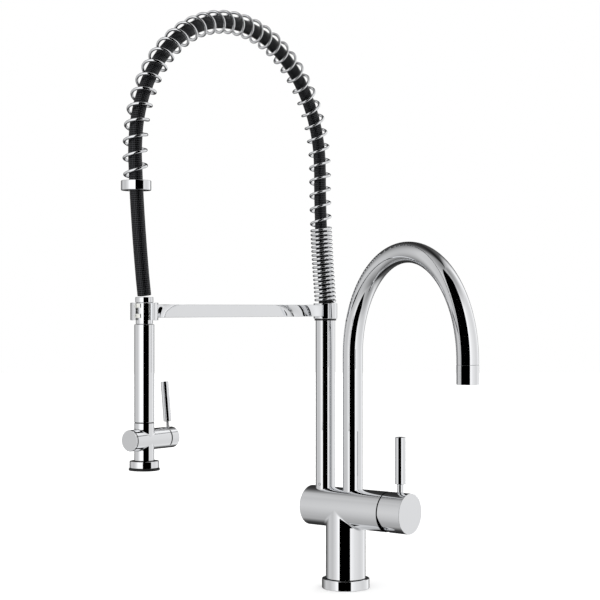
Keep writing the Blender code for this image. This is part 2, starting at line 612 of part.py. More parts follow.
def smooth_route(points, spacing):
    """Points at an even spacing along a smooth curve through the given ones."""
    dense = []
    for i in range(len(points) - 1):
        before = points[max(i - 1, 0)]
        start, end = points[i], points[i + 1]
        after = points[min(i + 2, len(points) - 1)]
        for step in range(12):
            t = step / 12
            dense.append(0.5 * (2 * start + (end - before) * t
                                + (2 * before - 5 * start + 4 * end - after) * t ** 2
                                + (3 * start - before - 3 * end + after) * t ** 3))
    dense.append(points[-1])
    travelled = [0.0]
    for first, second in zip(dense, dense[1:]):
        travelled.append(travelled[-1] + (second - first).length)
    count = max(2, round(travelled[-1] / spacing))
    even, at = [], 0
    for i in range(count + 1):
        target = travelled[-1] * i / count
        while at < len(travelled) - 2 and travelled[at + 1] < target:
            at += 1
        share = (target - travelled[at]) / (travelled[at + 1] - travelled[at])
        even.append(dense[at].lerp(dense[at + 1], min(max(share, 0.0), 1.0)))
    return even


def leaning(foot_y, top_y, bow, steps=8):
    """Points from a foot up to the arc's end, leaning at first and upright at the top."""
    rise = ARC_CENTRE[1] - LEAN_FOOT_Z
    shares = [i / steps for i in range(steps)]
    return [Vector((0, foot_y + (top_y - foot_y) * (1 - (1 - share) ** bow), LEAN_FOOT_Z + rise * share))
            for share in shares]


def hose_places(start_z, end):
    """The hose's line: a leaning rise from the riser, an elliptic arc and a drop to the end point."""
    middle_y, middle_z = ARC_CENTRE
    steps = 18
    angles = [math.pi * i / steps for i in range(steps + 1)]
    arc = [Vector((0, middle_y + ARC_HALF_WIDTH * math.cos(a), middle_z + ARC_RISE * math.sin(a)))
           for a in angles]
    rise = leaning(0, middle_y + ARC_HALF_WIDTH, RISE_BOW)
    drop = leaning(HEAD_Y, middle_y - ARC_HALF_WIDTH, DROP_BOW)[::-1]
    clear = 5 * MM
    return ([Vector((0, 0, start_z))] + [place for place in rise if place.z > start_z + clear] + arc
            + [place for place in drop if place.z > end.z + clear] + [end])


def build_guard():
    """One spring over the hose: close wound above the riser, open over the arc."""
    end = Vector((0, RING_Y, RING_Z[1] + WIRE_R + GAP))
    centre = smooth_route(hose_places(GUARD_START_Z, end), 1 * MM)
    side = Vector((1, 0, 0))
    points, phase = [], 0.0
    next_phase = 0.0
    step = 2 * math.pi / POINTS_PER_TURN
    for i in range(len(centre) - 1):
        along = centre[i + 1] - centre[i]
        close = centre[i].y > ARC_CENTRE[0] and centre[i].z < CLOSE_COIL_TOP
        pitch = CLOSE_PITCH if close else OPEN_PITCH
        turn = 2 * math.pi * along.length / pitch
        outward = side.cross(along.normalized())
        while next_phase < phase + turn:
            share = (next_phase - phase) / turn
            middle = centre[i] + along * share
            arm = side * math.cos(next_phase) - outward * math.sin(next_phase)
            points.append(middle + arm * GUARD_R)
            next_phase += step
        phase += turn
    mesh = path_mesh("spring_guard", points, WIRE_R, 6, True)
    return add_object("spring_guard", mesh, STEEL, (RISER_X, 0, 0))


def build_hose():
    end = Vector((0, HEAD_Y, NUT_Z[1] + HOSE_END_GAP))
    route = smooth_route(hose_places(TOP_NIPPLE_Z[1] + HOSE_END_GAP, end), 28 * MM)
    mesh = path_mesh("spray_hose", route, HOSE_R, 8, True)
    return add_object("spray_hose", mesh, RUBBER, (RISER_X, 0, 0))


def build_spray_head():
    at = (RISER_X, HEAD_Y, 0)
    ring_at = (RISER_X, RING_Y, 0)
    valve_at = (RISER_X, 0, VALVE_Z)
    end_ring = turned("spring_end_ring", ring(RING_R, 8.0 * MM, *RING_Z), CHROME, ring_at, steps=MEDIUM)
    nut = turned("hose_nut", ring(NUT_R, 4 * MM, *NUT_Z), CHROME, at, steps=MEDIUM)
    spigot = 7.8 * MM
    neck_foot = HANDLE_Z[1] + GAP
    neck = [(NECK_R, NUT_Z[0] - GAP), (NECK_R, neck_foot), (spigot, neck_foot), (spigot, 292 * MM),
            (4 * MM, 292 * MM), (4 * MM, NUT_Z[0] - GAP)]
    neck = turned("spray_neck", neck + neck[:1], CHROME, at, steps=MEDIUM)
    handle = turned("spray_handle", ring(HANDLE_R, HANDLE_INNER_R, *HANDLE_Z), CHROME, at, steps=MEDIUM)
    check_valve = turned("check_valve", ring(spigot, 3 * MM, 262 * MM, 280 * MM), DARK_PLASTIC, at)

    collar_top = SPRAY_COLLAR_Z[1]
    body = [(0, 216 * MM), (spigot, 216 * MM), (spigot, HANDLE_Z[0] - GAP),
            (HANDLE_R, HANDLE_Z[0] - GAP), (HANDLE_R, collar_top + GAP), (7.4 * MM, collar_top + GAP),
            (7.4 * MM, 166.8 * MM), (0, 166.8 * MM)]
    body = turned("spray_body", body, CHROME, at, steps=MEDIUM)
    join(body, turned("valve_barrel", disc(VALVE_R, *VALVE_BODY), None, valve_at, ALONG_MINUS_Y, MEDIUM))
    drill(body, "valve_bore", VALVE_BORE_R, 270 * MM, 330 * MM, valve_at, ALONG_MINUS_Y)
    drill(body, "water_bore", 4 * MM, 160 * MM, 220 * MM, at)
    stub = [(0, PLUG_FACE), (VALVE_R - 0.6 * MM, PLUG_FACE), (VALVE_R, PLUG_FACE - 0.6 * MM),
            (VALVE_R, VALVE_BODY[1] + GAP), (6.8 * MM, VALVE_BODY[1] + GAP), (6.8 * MM, 316 * MM),
            (0, 316 * MM)]
    plug = turned("front_plug", stub, CHROME, valve_at, ALONG_MINUS_Y, MEDIUM)
    gland = turned("valve_gland", ring(6.8 * MM, 3.9 * MM, 276.5 * MM, 284.6 * MM), BRASS, valve_at,
                   ALONG_MINUS_Y)

    low, high = SPRAY_COLLAR_Z
    collar = [(SPRAY_COLLAR_R, high), (SPRAY_COLLAR_R, low), (12.9 * MM, low), (12.9 * MM, 166.4 * MM),
              (7.8 * MM, 166.4 * MM), (7.8 * MM, high)]
    collar = turned("spray_collar", collar + collar[:1], CHROME, at, steps=MEDIUM)
    plate = turned("flow_plate", ring(12.5 * MM, 1.5 * MM, 163.4 * MM, 165.8 * MM), DARK_PLASTIC, at)
    recess = SPRAY_FACE_Z + 0.8 * MM
    face = [(0, 163 * MM), (12.4 * MM, 163 * MM), (12.4 * MM, low - GAP), (SPRAY_FACE_R, low - GAP),
            (SPRAY_FACE_R, SPRAY_FACE_Z), (13.5 * MM, SPRAY_FACE_Z), (13.5 * MM, recess), (0, recess)]
    face = turned("spray_face", face, RUBBER, at, steps=MEDIUM)
    joint_axis("spray_pull", (RISER_X, HEAD_Y, VALVE_Z),
               [end_ring, nut, neck, handle, check_valve, body, plug, gland, collar, plate, face])
    build_spray_valve(valve_at)


def build_spray_valve(at):
    """The knob and lever at the back of the spray head, and the spindle that they turn."""
    spindle = turned("valve_spindle", [(0, 315 * MM), (6.8 * MM, 315 * MM), (6.8 * MM, 285 * MM),
                                       (3.5 * MM, 285 * MM), (3.5 * MM, 268 * MM), (0, 268 * MM)],
                     BRASS, at, ALONG_MINUS_Y)
    drill(spindle, "spindle_port", 3 * MM, -10 * MM, 10 * MM, (RISER_X, HEAD_Y, VALVE_Z),
          (0, math.pi / 2, 0))
    rear, front = KNOB
    corner = 2 * MM
    round_steps = 3
    profile = [(0, front), (VALVE_R, front)]
    for i in range(round_steps + 1):
        angle = math.pi / 2 * i / round_steps
        profile.append((VALVE_R - corner + corner * math.cos(angle), rear + corner - corner * math.sin(angle)))
    knob = turned("valve_knob", profile + [(0, rear)], CHROME, at, ALONG_MINUS_Y, MEDIUM)
    drill(knob, "spindle_socket", 3.9 * MM, 267.5 * MM, 276 * MM, at, ALONG_MINUS_Y)
    lever_at = (RISER_X, -SPRAY_LEVER_AT, VALVE_Z)
    lean = (0, -SPRAY_LEVER_LEAN, 0)
    drill(knob, "pin_hole", 2.2 * MM, 5 * MM, 14 * MM, lever_at, lean)
    profile = [(0, 57.5 * MM), (3.4 * MM, 57.5 * MM), (4 * MM, 56.9 * MM), (4 * MM, 16.3 * MM),
               (1.8 * MM, 16.3 * MM), (1.8 * MM, 5.5 * MM), (0, 5.5 * MM)]
    lever = turned("spray_lever", profile, CHROME, lever_at, lean)
    joint_axis("spray_valve_turn", at, [spindle, knob, lever])


build_base()
build_body()
build_diverter()
build_riser()
build_mixer()
build_spout()
joint_axis("boom_swing", (RISER_X, 0, 0), build_arm() + [build_guard(), build_hose()])
build_spray_head()
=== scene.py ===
"""Visible surfaces of a kitchen faucet with a swivel gooseneck and a spring-guarded pull-down spray.

+X runs along the barrel to the mixer handle, -Y to the front over the sink, +Z up. Sizes are in metres.
"""
import math

import bmesh
import bpy
import numpy as np
from bpy.props import FloatProperty, FloatVectorProperty, IntProperty, PointerProperty
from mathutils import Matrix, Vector


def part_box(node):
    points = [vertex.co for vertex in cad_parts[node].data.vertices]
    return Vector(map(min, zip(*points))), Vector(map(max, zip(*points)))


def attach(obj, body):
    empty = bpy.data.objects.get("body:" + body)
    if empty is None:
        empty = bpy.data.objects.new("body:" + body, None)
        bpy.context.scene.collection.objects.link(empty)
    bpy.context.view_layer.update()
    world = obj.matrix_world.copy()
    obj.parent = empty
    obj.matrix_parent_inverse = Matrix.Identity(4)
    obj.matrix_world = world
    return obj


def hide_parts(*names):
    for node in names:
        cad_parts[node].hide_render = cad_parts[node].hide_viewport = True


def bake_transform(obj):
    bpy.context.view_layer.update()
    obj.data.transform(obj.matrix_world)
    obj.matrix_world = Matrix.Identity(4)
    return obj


bl_info = {
    "name": "Spring-guard kitchen faucet",
    "version": (1, 0, 0),
    "blender": (4, 5, 0),
    "location": "View3D > Sidebar > Faucet",
    "description": "Builds the visible surfaces of a kitchen faucet round its CAD frame",
    "category": "Object",
}

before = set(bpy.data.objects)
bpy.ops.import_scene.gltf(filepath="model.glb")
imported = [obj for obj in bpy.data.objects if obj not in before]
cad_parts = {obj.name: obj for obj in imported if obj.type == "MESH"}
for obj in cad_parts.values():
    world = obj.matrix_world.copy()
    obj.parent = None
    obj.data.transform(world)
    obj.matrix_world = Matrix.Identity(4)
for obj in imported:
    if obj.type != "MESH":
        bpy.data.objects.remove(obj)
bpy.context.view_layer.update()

MM = 0.001
GAP = 0.3 * MM  # kept between pieces that touch
UP = Vector((0, 0, 1))
ALONG_X = Vector((1, 0, 0))
FORWARD = Vector((0, -1, 0))


def linear(colour):
    """An sRGB hex colour as linear red, green and blue."""
    channels = [int(colour[i:i + 2], 16) / 255 for i in (1, 3, 5)]
    return tuple(c / 12.92 if c <= 0.04045 else ((c + 0.055) / 1.055) ** 2.4 for c in channels)


# ---------------------------------------------------------------- settings

class FaucetSizes(bpy.types.PropertyGroup):
    rounds: IntProperty(name="Segments round a turned piece", default=96, min=24,
                        description="How finely each turned piece is divided round its axis")
    edge: FloatProperty(name="Edge rounding", default=0.45 * MM, unit="LENGTH",
                        description="Radius left on machined edges by polishing")
    fillet: FloatProperty(name="Fillet between pipes", default=3.0 * MM, unit="LENGTH",
                          description="Width over which the post runs into the barrel")
    wire: FloatProperty(name="Spring wire radius", default=1.5 * MM, unit="LENGTH",
                        description="Radius of the wire of the guard spring")
    braid: FloatProperty(name="Braid pitch", default=2.1 * MM, unit="LENGTH",
                         description="Length of one diamond of the hose's braid")


class FaucetFinishes(bpy.types.PropertyGroup):
    chrome: FloatVectorProperty(name="Chrome", subtype="COLOR", default=linear("#F1F2F4"),
                                description="Reflected tint of the chrome plating")
    steel: FloatVectorProperty(name="Stainless steel", subtype="COLOR", default=linear("#B9BABD"),
                               description="Tint of the screws, pins and mixer stem")
    brass: FloatVectorProperty(name="Brass", subtype="COLOR", default=linear("#C9A45C"),
                               description="Tint of the machined brass inside")
    alumina: FloatVectorProperty(name="Alumina", subtype="COLOR", default=linear("#EDEBE4"),
                                 description="Colour of the mixer's ceramic discs")
    acetal: FloatVectorProperty(name="Natural acetal", subtype="COLOR", default=linear("#D9D9D4"),
                                description="Colour of the pale moulded plastic pieces")
    black_acetal: FloatVectorProperty(name="Black acetal", subtype="COLOR", default=linear("#161617"),
                                      description="Colour of the black moulded plastic pieces")
    rubber: FloatVectorProperty(name="Rubber", subtype="COLOR", default=linear("#121213"),
                                description="Colour of the seals and the nozzle face")
    braid_dark: FloatVectorProperty(name="Dark braid", subtype="COLOR", default=linear("#060607"),
                                    description="Colour of the hose's black threads")
    braid_light: FloatVectorProperty(name="Light braid", subtype="COLOR", default=linear("#3E3F42"),
                                     description="Colour of the hose's grey threads")


class FaucetStudio(bpy.types.PropertyGroup):
    floor: FloatVectorProperty(name="Floor", subtype="COLOR", default=linear("#F4F4F4"),
                               description="Colour of the floor")
    surround: FloatProperty(name="Surround brightness", default=1.15, min=0,
                            description="Strength of the light from the studio walls")
    key: FloatProperty(name="Overhead light", default=2.6,
                       description="Strength of the diffuse light from overhead")
    lens: FloatProperty(name="Lens", default=92.2, subtype="DISTANCE_CAMERA",
                        description="Focal length of the camera in millimetres")


def sizes():
    return bpy.context.scene.faucet_sizes


def finishes():
    return bpy.context.scene.faucet_finishes


def studio():
    return bpy.context.scene.faucet_studio


# ---------------------------------------------------------------- materials

def add_node(tree, kind, inputs=None, **settings):
    """Add a node with its settings, and set or link each of its inputs."""
    made = tree.nodes.new(kind)
    for name, value in settings.items():
        setattr(made, name, value)
    for name, value in (inputs or {}).items():
        if isinstance(value, bpy.types.NodeSocket):
            tree.links.new(value, made.inputs[name])
        else:
            made.inputs[name].default_value = value
    return made


def surface(name, colour, metallic, roughness, vary, bump, detail_size, **sockets):
    """A Principled material whose tone, gloss and relief vary with a fine and a broad grain.

    vary is the share by which the darker tone falls, roughness a low and a high value, bump a depth in
    metres and detail_size the grain's real size in metres.
    """
    material = bpy.data.materials.new(name)
    material.use_nodes = True
    tree = material.node_tree
    shader = tree.nodes["Principled BSDF"]
    shader.inputs["Metallic"].default_value = metallic
    for socket, value in sockets.items():
        shader.inputs[socket].default_value = value
    place = add_node(tree, "ShaderNodeTexCoord").outputs["Object"]
    fine = add_node(tree, "ShaderNodeTexNoise",
                    {"Vector": place, "Scale": 1 / detail_size, "Detail": 3.0}).outputs["Fac"]
    broad = add_node(tree, "ShaderNodeTexNoise",
                     {"Vector": place, "Scale": 0.12 / detail_size, "Detail": 2.0}).outputs["Fac"]
    both = add_node(tree, "ShaderNodeMath", {0: fine, 1: broad}, operation="MULTIPLY").outputs[0]
    tone = add_node(tree, "ShaderNodeMix", {"Factor": broad, "A": (*colour, 1.0),
                                            "B": (*[c * (1 - vary) for c in colour], 1.0)},
                    data_type="RGBA")
    gloss = add_node(tree, "ShaderNodeMapRange", {"Value": both, "From Min": 0.1, "From Max": 0.45,
                                                  "To Min": roughness[0], "To Max": roughness[1]})
    relief = add_node(tree, "ShaderNodeBump", {"Height": fine, "Strength": 0.5, "Distance": bump})
    tree.links.new(tone.outputs["Result"], shader.inputs["Base Color"])
    tree.links.new(gloss.outputs["Result"], shader.inputs["Roughness"])
    tree.links.new(relief.outputs["Normal"], shader.inputs["Normal"])
    return material


def braid_material():
    """Black polyester yarn braided with fine steel wire.

    Diamonds alternate dull black and grey, with a soft metallic sheen down the hose's sides. They are
    drawn at twice their real size, so that they show.
    """
    finish = finishes()
    material = bpy.data.materials.new("polyester_and_steel_braided")
    material.use_nodes = True
    tree = material.node_tree
    shader = tree.nodes["Principled BSDF"]
    shader.inputs["Metallic"].default_value = 0.75
    across = add_node(tree, "ShaderNodeUVMap", uv_map="braid").outputs["UV"]
    diamonds = add_node(tree, "ShaderNodeTexChecker", {"Vector": across, "Scale": 1.0,
                                                       "Color1": (*finish.braid_dark, 1.0),
                                                       "Color2": (*finish.braid_light, 1.0)})
    strands = add_node(tree, "ShaderNodeTexWave", {"Vector": across, "Scale": 1.0, "Distortion": 0.6},
                       bands_direction="X")
    tone = add_node(tree, "ShaderNodeMix", {"Factor": 0.45, "A": diamonds.outputs["Color"],
                                            "B": strands.outputs["Color"]},
                    data_type="RGBA", blend_type="MULTIPLY")
    gloss = add_node(tree, "ShaderNodeMapRange", {"Value": diamonds.outputs["Fac"],
                                                  "To Min": 0.34, "To Max": 0.22})
    relief = add_node(tree, "ShaderNodeBump", {"Height": strands.outputs["Fac"], "Strength": 0.4,
                                               "Distance": 0.1 * MM})
    tree.links.new(tone.outputs["Result"], shader.inputs["Base Color"])
    tree.links.new(gloss.outputs["Result"], shader.inputs["Roughness"])
    tree.links.new(relief.outputs["Normal"], shader.inputs["Normal"])
    return material


def finish_named(kind):
    """The material of one finish, made the first time that it is asked for."""
    finish = finishes()
    recipes = {
        # Brass buffed and electroplated with nickel and chromium: a mirror, with faint polishing haze.
        "chrome": ("chrome_electroplated_on_buffed_brass", finish.chrome, 1.0, (0.012, 0.035), 0.02,
                   0.0004 * MM, 3 * MM),
        # Drawn spring steel, plated: a mirror with slightly softer lights from the drawing marks.
        "wire": ("spring_steel_drawn_and_chrome_plated", finish.chrome, 1.0, (0.03, 0.09), 0.06,
                 0.002 * MM, 0.8 * MM),
        # Stainless steel turned from bar: soft greyish lights.
        "steel": ("stainless_steel_turned", finish.steel, 1.0, (0.18, 0.32), 0.12, 0.004 * MM, 0.5 * MM),
        # Free-cutting brass left as machined: warm, with tool marks and a dull tarnish here and there.
        "brass": ("brass_turned", finish.brass, 1.0, (0.2, 0.42), 0.25, 0.006 * MM, 0.7 * MM),
        # Alumina pressed, fired and lapped: smooth and faintly glossy, off-white.
        "alumina": ("alumina_lapped", finish.alumina, 0.0, (0.12, 0.25), 0.05, 0.001 * MM, 0.6 * MM),
        # Natural acetal injection moulded: milky, waxy gloss with a fine moulded texture.
        "acetal": ("acetal_moulded", finish.acetal, 0.0, (0.3, 0.45), 0.06, 0.006 * MM, 0.6 * MM),
        # Black acetal injection moulded: near black with a waxy gloss.
        "black_acetal": ("black_acetal_moulded", finish.black_acetal, 0.0, (0.28, 0.45), 0.2,
                         0.006 * MM, 0.6 * MM),
        # EPDM compression moulded: matt black with a faint bloom.
        "rubber": ("epdm_rubber_moulded", finish.rubber, 0.0, (0.5, 0.72), 0.35, 0.02 * MM, 0.9 * MM),
    }
    if kind == "braid":
        return bpy.data.materials.get("polyester_and_steel_braided") or braid_material()
    name, *rest = recipes[kind]
    return bpy.data.materials.get(name) or surface(name, *rest)


# ---------------------------------------------------------------- shells
# A shell is a list of vertices, a list of faces and a list of vertex normals.

def turned_about(node, axis):
    """Centre line, radius and both ends of a CAD node that is turned about an axis."""
    low, high = (Vector(corner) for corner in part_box(node))
    centre = (low + high) / 2
    length = abs((high - low).dot(axis))
    side = next(i for i in range(3) if abs(axis[i]) < 0.5)
    at = centre.dot(axis)
    return centre - axis * at, (high - low)[side] / 2, at - length / 2, at + length / 2


def rounded(corners, radius, steps=4):
    """Round each corner of a profile. Gives rows of radius, height and the normal's two shares."""
    closed = corners[0] == corners[-1]
    points = [Vector(corner) for corner in (corners[:-1] if closed else corners)]
    count = len(points)
    rows = []
    for i, point in enumerate(points):
        before = points[i - 1] if closed or i else None
        after = points[(i + 1) % count] if closed or i < count - 1 else None
        into = (point - before).normalized() if before is not None else (after - point).normalized()
        out = (after - point).normalized() if after is not None else into
        first = Vector((-into.y, into.x))
        turn = math.atan2(into.x * out.y - into.y * out.x, into.dot(out))
        if before is None or after is None or abs(turn) < 0.02:
            rows.append((point, first))
            continue
        room = 0.45 * min((point - before).length, (after - point).length)
        trim = min(radius * math.tan(abs(turn) / 2), room)
        size = trim / math.tan(abs(turn) / 2)
        way = 1 if turn < 0 else -1
        centre = point - into * trim - first * size * way
        start = math.atan2(first.y, first.x)
        for step in range(steps + 1):
            angle = start + turn * step / steps
            normal = Vector((math.cos(angle), math.sin(angle)))
            rows.append((centre + normal * size * way, normal))
    if closed:
        rows.append(rows[0])
    return rows


def turned(corners, axis=UP, centre=(0, 0, 0), edge=None, rounds=None, shift=None):
    """Turn a profile of (radius, distance along the axis), given far end first on its outer side."""
    rows = rounded(corners, sizes().edge if edge is None else edge)
    rounds = rounds or sizes().rounds
    turn = UP.rotation_difference(axis).to_matrix()
    centre = Vector(centre)
    vertices, normals, faces, row_starts = [], [], [], []
    for point, normal in rows:
        pole = point.x < 1e-6
        row_starts.append((len(vertices), pole))
        for i in range(1 if pole else rounds):
            angle = 2 * math.pi * i / rounds
            around = Vector((math.cos(angle), math.sin(angle), 0))
            place = turn @ (around * point.x + UP * point.y) + centre
            vertices.append(shift(place) if shift else place)
            normals.append(turn @ (around * normal.x + UP * normal.y))
    for (first, first_pole), (second, second_pole) in zip(row_starts, row_starts[1:]):
        for i in range(rounds):
            j = (i + 1) % rounds
            ring = [first if first_pole else first + i, second if second_pole else second + i,
                    second if second_pole else second + j, first if first_pole else first + j]
            ring = list(dict.fromkeys(ring))
            if len(ring) > 2:
                faces.append(ring)
    return vertices, faces, normals


def swept(points, radius, sides, relief=None):
    """A round rod along a row of points, with flat ends."""
    vertices, normals, faces = [], [], []
    count = len(points)
    tangents = [(points[min(i + 1, count - 1)] - points[max(i - 1, 0)]).normalized() for i in range(count)]
    side = tangents[0].orthogonal().normalized()
    stations = [(points[i], tangents[i], radius, 0.0) for i in range(count)]
    rings = [(points[0], tangents[0], 0.0, -1.0)] + stations + [(points[-1], tangents[-1], 0.0, 1.0)]
    travelled = 0.0
    previous = None
    for place, along, reach, facing in rings:
        side = (side - along * side.dot(along)).normalized()
        other = along.cross(side)
        if previous is not None:
            travelled += (place - previous).length
        previous = place
        for i in range(sides):
            angle = 2 * math.pi * i / sides
            out = side * math.cos(angle) + other * math.sin(angle)
            proud = relief(i / sides, travelled) if relief and reach else 0.0
            vertices.append(place + out * (reach + proud))
            normals.append(along * facing if facing else out)
    for ring in range(len(rings) - 1):
        for i in range(sides):
            j = (i + 1) % sides
            faces.append([ring * sides + i, ring * sides + j, (ring + 1) * sides + j, (ring + 1) * sides + i])
    return vertices, faces, normals


def band(corners, centre, start, end, steps=64, edge=None):
    """Part of a ring about a vertical axis, with flat ends. Angles run from -Y towards +X."""
    rows = rounded(corners, sizes().edge if edge is None else edge)[:-1]
    centre = Vector(centre)
    vertices, normals, faces = [], [], []
    for step in range(steps + 1):
        angle = start + (end - start) * step / steps
        around = Vector((math.sin(angle), -math.cos(angle), 0))
        for point, normal in rows:
            vertices.append(centre + around * point.x + UP * point.y)
            normals.append(around * normal.x + UP * normal.y)
    count = len(rows)
    for step in range(steps):
        for i in range(count):
            j = (i + 1) % count
            faces.append([step * count + i, step * count + j, (step + 1) * count + j,
                          (step + 1) * count + i])
    for step, way in ((0, -1), (steps, 1)):
        angle = start + (end - start) * step / steps
        facing = Vector((math.cos(angle), math.sin(angle), 0)) * way * (1 if end > start else -1)
        first = len(vertices)
        vertices += vertices[step * count:(step + 1) * count]
        normals += [facing] * count
        loop = list(range(first, first + count))
        faces.append(loop if way > 0 else loop[::-1])
    return vertices, faces, normals


def outside(points, pipes, fillet):
    """How far points lie outside two pipes that run into each other over a fillet."""
    found = []
    for centre, axis, radius, limit in pipes:
        away = points - centre
        along = away @ axis
        out = away - along[:, None] * axis
        length = np.maximum(np.linalg.norm(out, axis=1), 1e-9)
        distance = length - radius
        if limit is not None:
            distance = np.maximum(distance, along - limit)
        found.append((distance, out / length[:, None]))
    (first, first_out), (second, second_out) = found
    width = fillet * (1 - (first_out * second_out).sum(1) ** 2) + 1e-7
    share = np.maximum(width - abs(first - second), 0) / width
    return np.minimum(first, second) - share ** 2 * width / 4


def slope(points, pipes, fillet):
    """The direction out of the two pipes at each point."""
    step = 0.01 * MM
    gradient = np.stack([(outside(points + shift, pipes, fillet) - outside(points - shift, pipes, fillet))
                         / (2 * step) for shift in np.eye(3) * step], axis=1)
    return gradient


def joined_pipes(pipes, fillet, grain, ends):
    """Two pipes cast as one, cut off and carried on through rings at each end.

    An end is a point on its pipe's axis, the way out, and rings of radius, distance out and the normal's
    two shares.
    """
    shape = bmesh.new()
    for centre, axis, radius, limit in pipes:
        reach = 0.14
        far = reach if limit is None else limit
        made = bmesh.ops.create_cone(shape, cap_ends=True, segments=96, radius1=radius, radius2=radius,
                                     depth=far + reach)
        turn = UP.rotation_difference(Vector(axis)).to_matrix()
        middle = Vector(centre) + Vector(axis) * (far - reach) / 2
        for vertex in made["verts"]:
            vertex.co = turn @ vertex.co + middle
    rough = bpy.data.meshes.new("rough")
    shape.to_mesh(rough)
    shape.free()
    holder = bpy.data.objects.new("rough", rough)
    bpy.context.scene.collection.objects.link(holder)
    remesh = holder.modifiers.new("even", "REMESH")
    remesh.mode = "VOXEL"
    remesh.voxel_size = grain
    bpy.context.view_layer.update()
    even = bpy.data.meshes.new_from_object(holder.evaluated_get(bpy.context.evaluated_depsgraph_get()))
    bpy.data.objects.remove(holder, do_unlink=True)

    points = np.empty(len(even.vertices) * 3)
    even.vertices.foreach_get("co", points)
    points = points.reshape(-1, 3)
    for _ in range(8):
        gradient = slope(points, pipes, fillet)
        points = points - gradient * (outside(points, pipes, fillet)
                                      / np.maximum((gradient ** 2).sum(1), 0.2))[:, None]
    even.vertices.foreach_set("co", points.ravel())
    shape = bmesh.new()
    shape.from_mesh(even)
    facing = {}
    for at, way, rings in ends:
        at, way = Vector(at), Vector(way)
        geometry = shape.verts[:] + shape.edges[:] + shape.faces[:]
        bmesh.ops.bisect_plane(shape, geom=geometry, dist=1e-7, plane_co=at, plane_no=way, clear_outer=True)
    for at, way, rings in ends:
        at, way = Vector(at), Vector(way)
        loop = [edge for edge in shape.edges if edge.is_boundary
                and all(abs((vertex.co - at).dot(way)) < 0.02 * MM for vertex in edge.verts)]
        for radius, distance, outward, onward in rings:
            made = bmesh.ops.extrude_edge_only(shape, edges=loop)["geom"]
            loop = [item for item in made if isinstance(item, bmesh.types.BMEdge)]
            for vertex in (item for item in made if isinstance(item, bmesh.types.BMVert)):
                out = vertex.co - at
                out = (out - way * out.dot(way)).normalized()
                vertex.co = at + way * distance + out * radius
                facing[vertex] = out * outward + way * onward
        bmesh.ops.holes_fill(shape, edges=loop)
    bmesh.ops.recalc_face_normals(shape, faces=shape.faces)
    shape.verts.index_update()
    places = [vertex.co.copy() for vertex in shape.verts]
    normals = [facing.get(vertex) for vertex in shape.verts]
    faces = [[vertex.index for vertex in face.verts] for face in shape.faces]
    shape.free()
    bpy.data.meshes.remove(even)
    gradient = slope(np.array(places), pipes, fillet)
    normals = [Vector(gradient[i]).normalized() if normal is None else normal.normalized()
               for i, normal in enumerate(normals)]
    return places, faces, normals


def end_rings(corners, start):
    """Rings for the end of a joined pipe, from a profile of (radius, distance) that starts on its side."""
    rows = rounded([(corners[0][0], start)] + corners, sizes().edge)
    return [(point.x, point.y, normal.x, normal.y) for point, normal in rows[1:]]


def piece(name, shells, kind, body, replaces=()):
    """One visible piece made of shells, riding on a body in place of its CAD nodes."""
    vertices, faces, normals = [], [], []
    for shell_vertices, shell_faces, shell_normals in shells:
        first = len(vertices)
        vertices += [tuple(vertex) for vertex in shell_vertices]
        normals += [tuple(normal) for normal in shell_normals]
        faces += [[first + index for index in face] for face in shell_faces]
    mesh = bpy.data.meshes.new(name)
    mesh.from_pydata(vertices, [], faces)
    mesh.shade_smooth()
    mesh.normals_split_custom_set_from_vertices(normals)
    mesh.materials.append(finish_named(kind))
    obj = bpy.data.objects.new(name, mesh)
    bpy.context.scene.collection.objects.link(obj)
    if body:
        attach(obj, body)
    if replaces:
        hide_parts(*replaces)
    return obj


def solid(radius, low, high):
    """Profile of a solid round bar."""
    return [(0, high), (radius, high), (radius, low), (0, low)]


def ring(outer, inner, low, high):
    """Profile of a tube or washer."""
    return [(outer, high), (outer, low), (inner, low), (inner, high), (outer, high)]


def socket_screw(centre, axis, radius, low, high, body, name, replaces):
    """A set screw with a round socket in its outer end."""
    socket = radius * 0.55
    floor = high - radius
    rows = [(0, floor), (socket, floor), (socket, high), (radius, high), (radius, low), (0, low)]
    return piece(name, [turned(rows, axis, centre, edge=0.1 * MM, rounds=24)], "steel", body, replaces)


# ---------------------------------------------------------------- body and base

BARREL_R = 23.0 * MM
POST_BORE = (18.0 * MM, 54.5 * MM)  # radius, depth
MIXER_BORE = (18.5 * MM, 35.0 * MM)


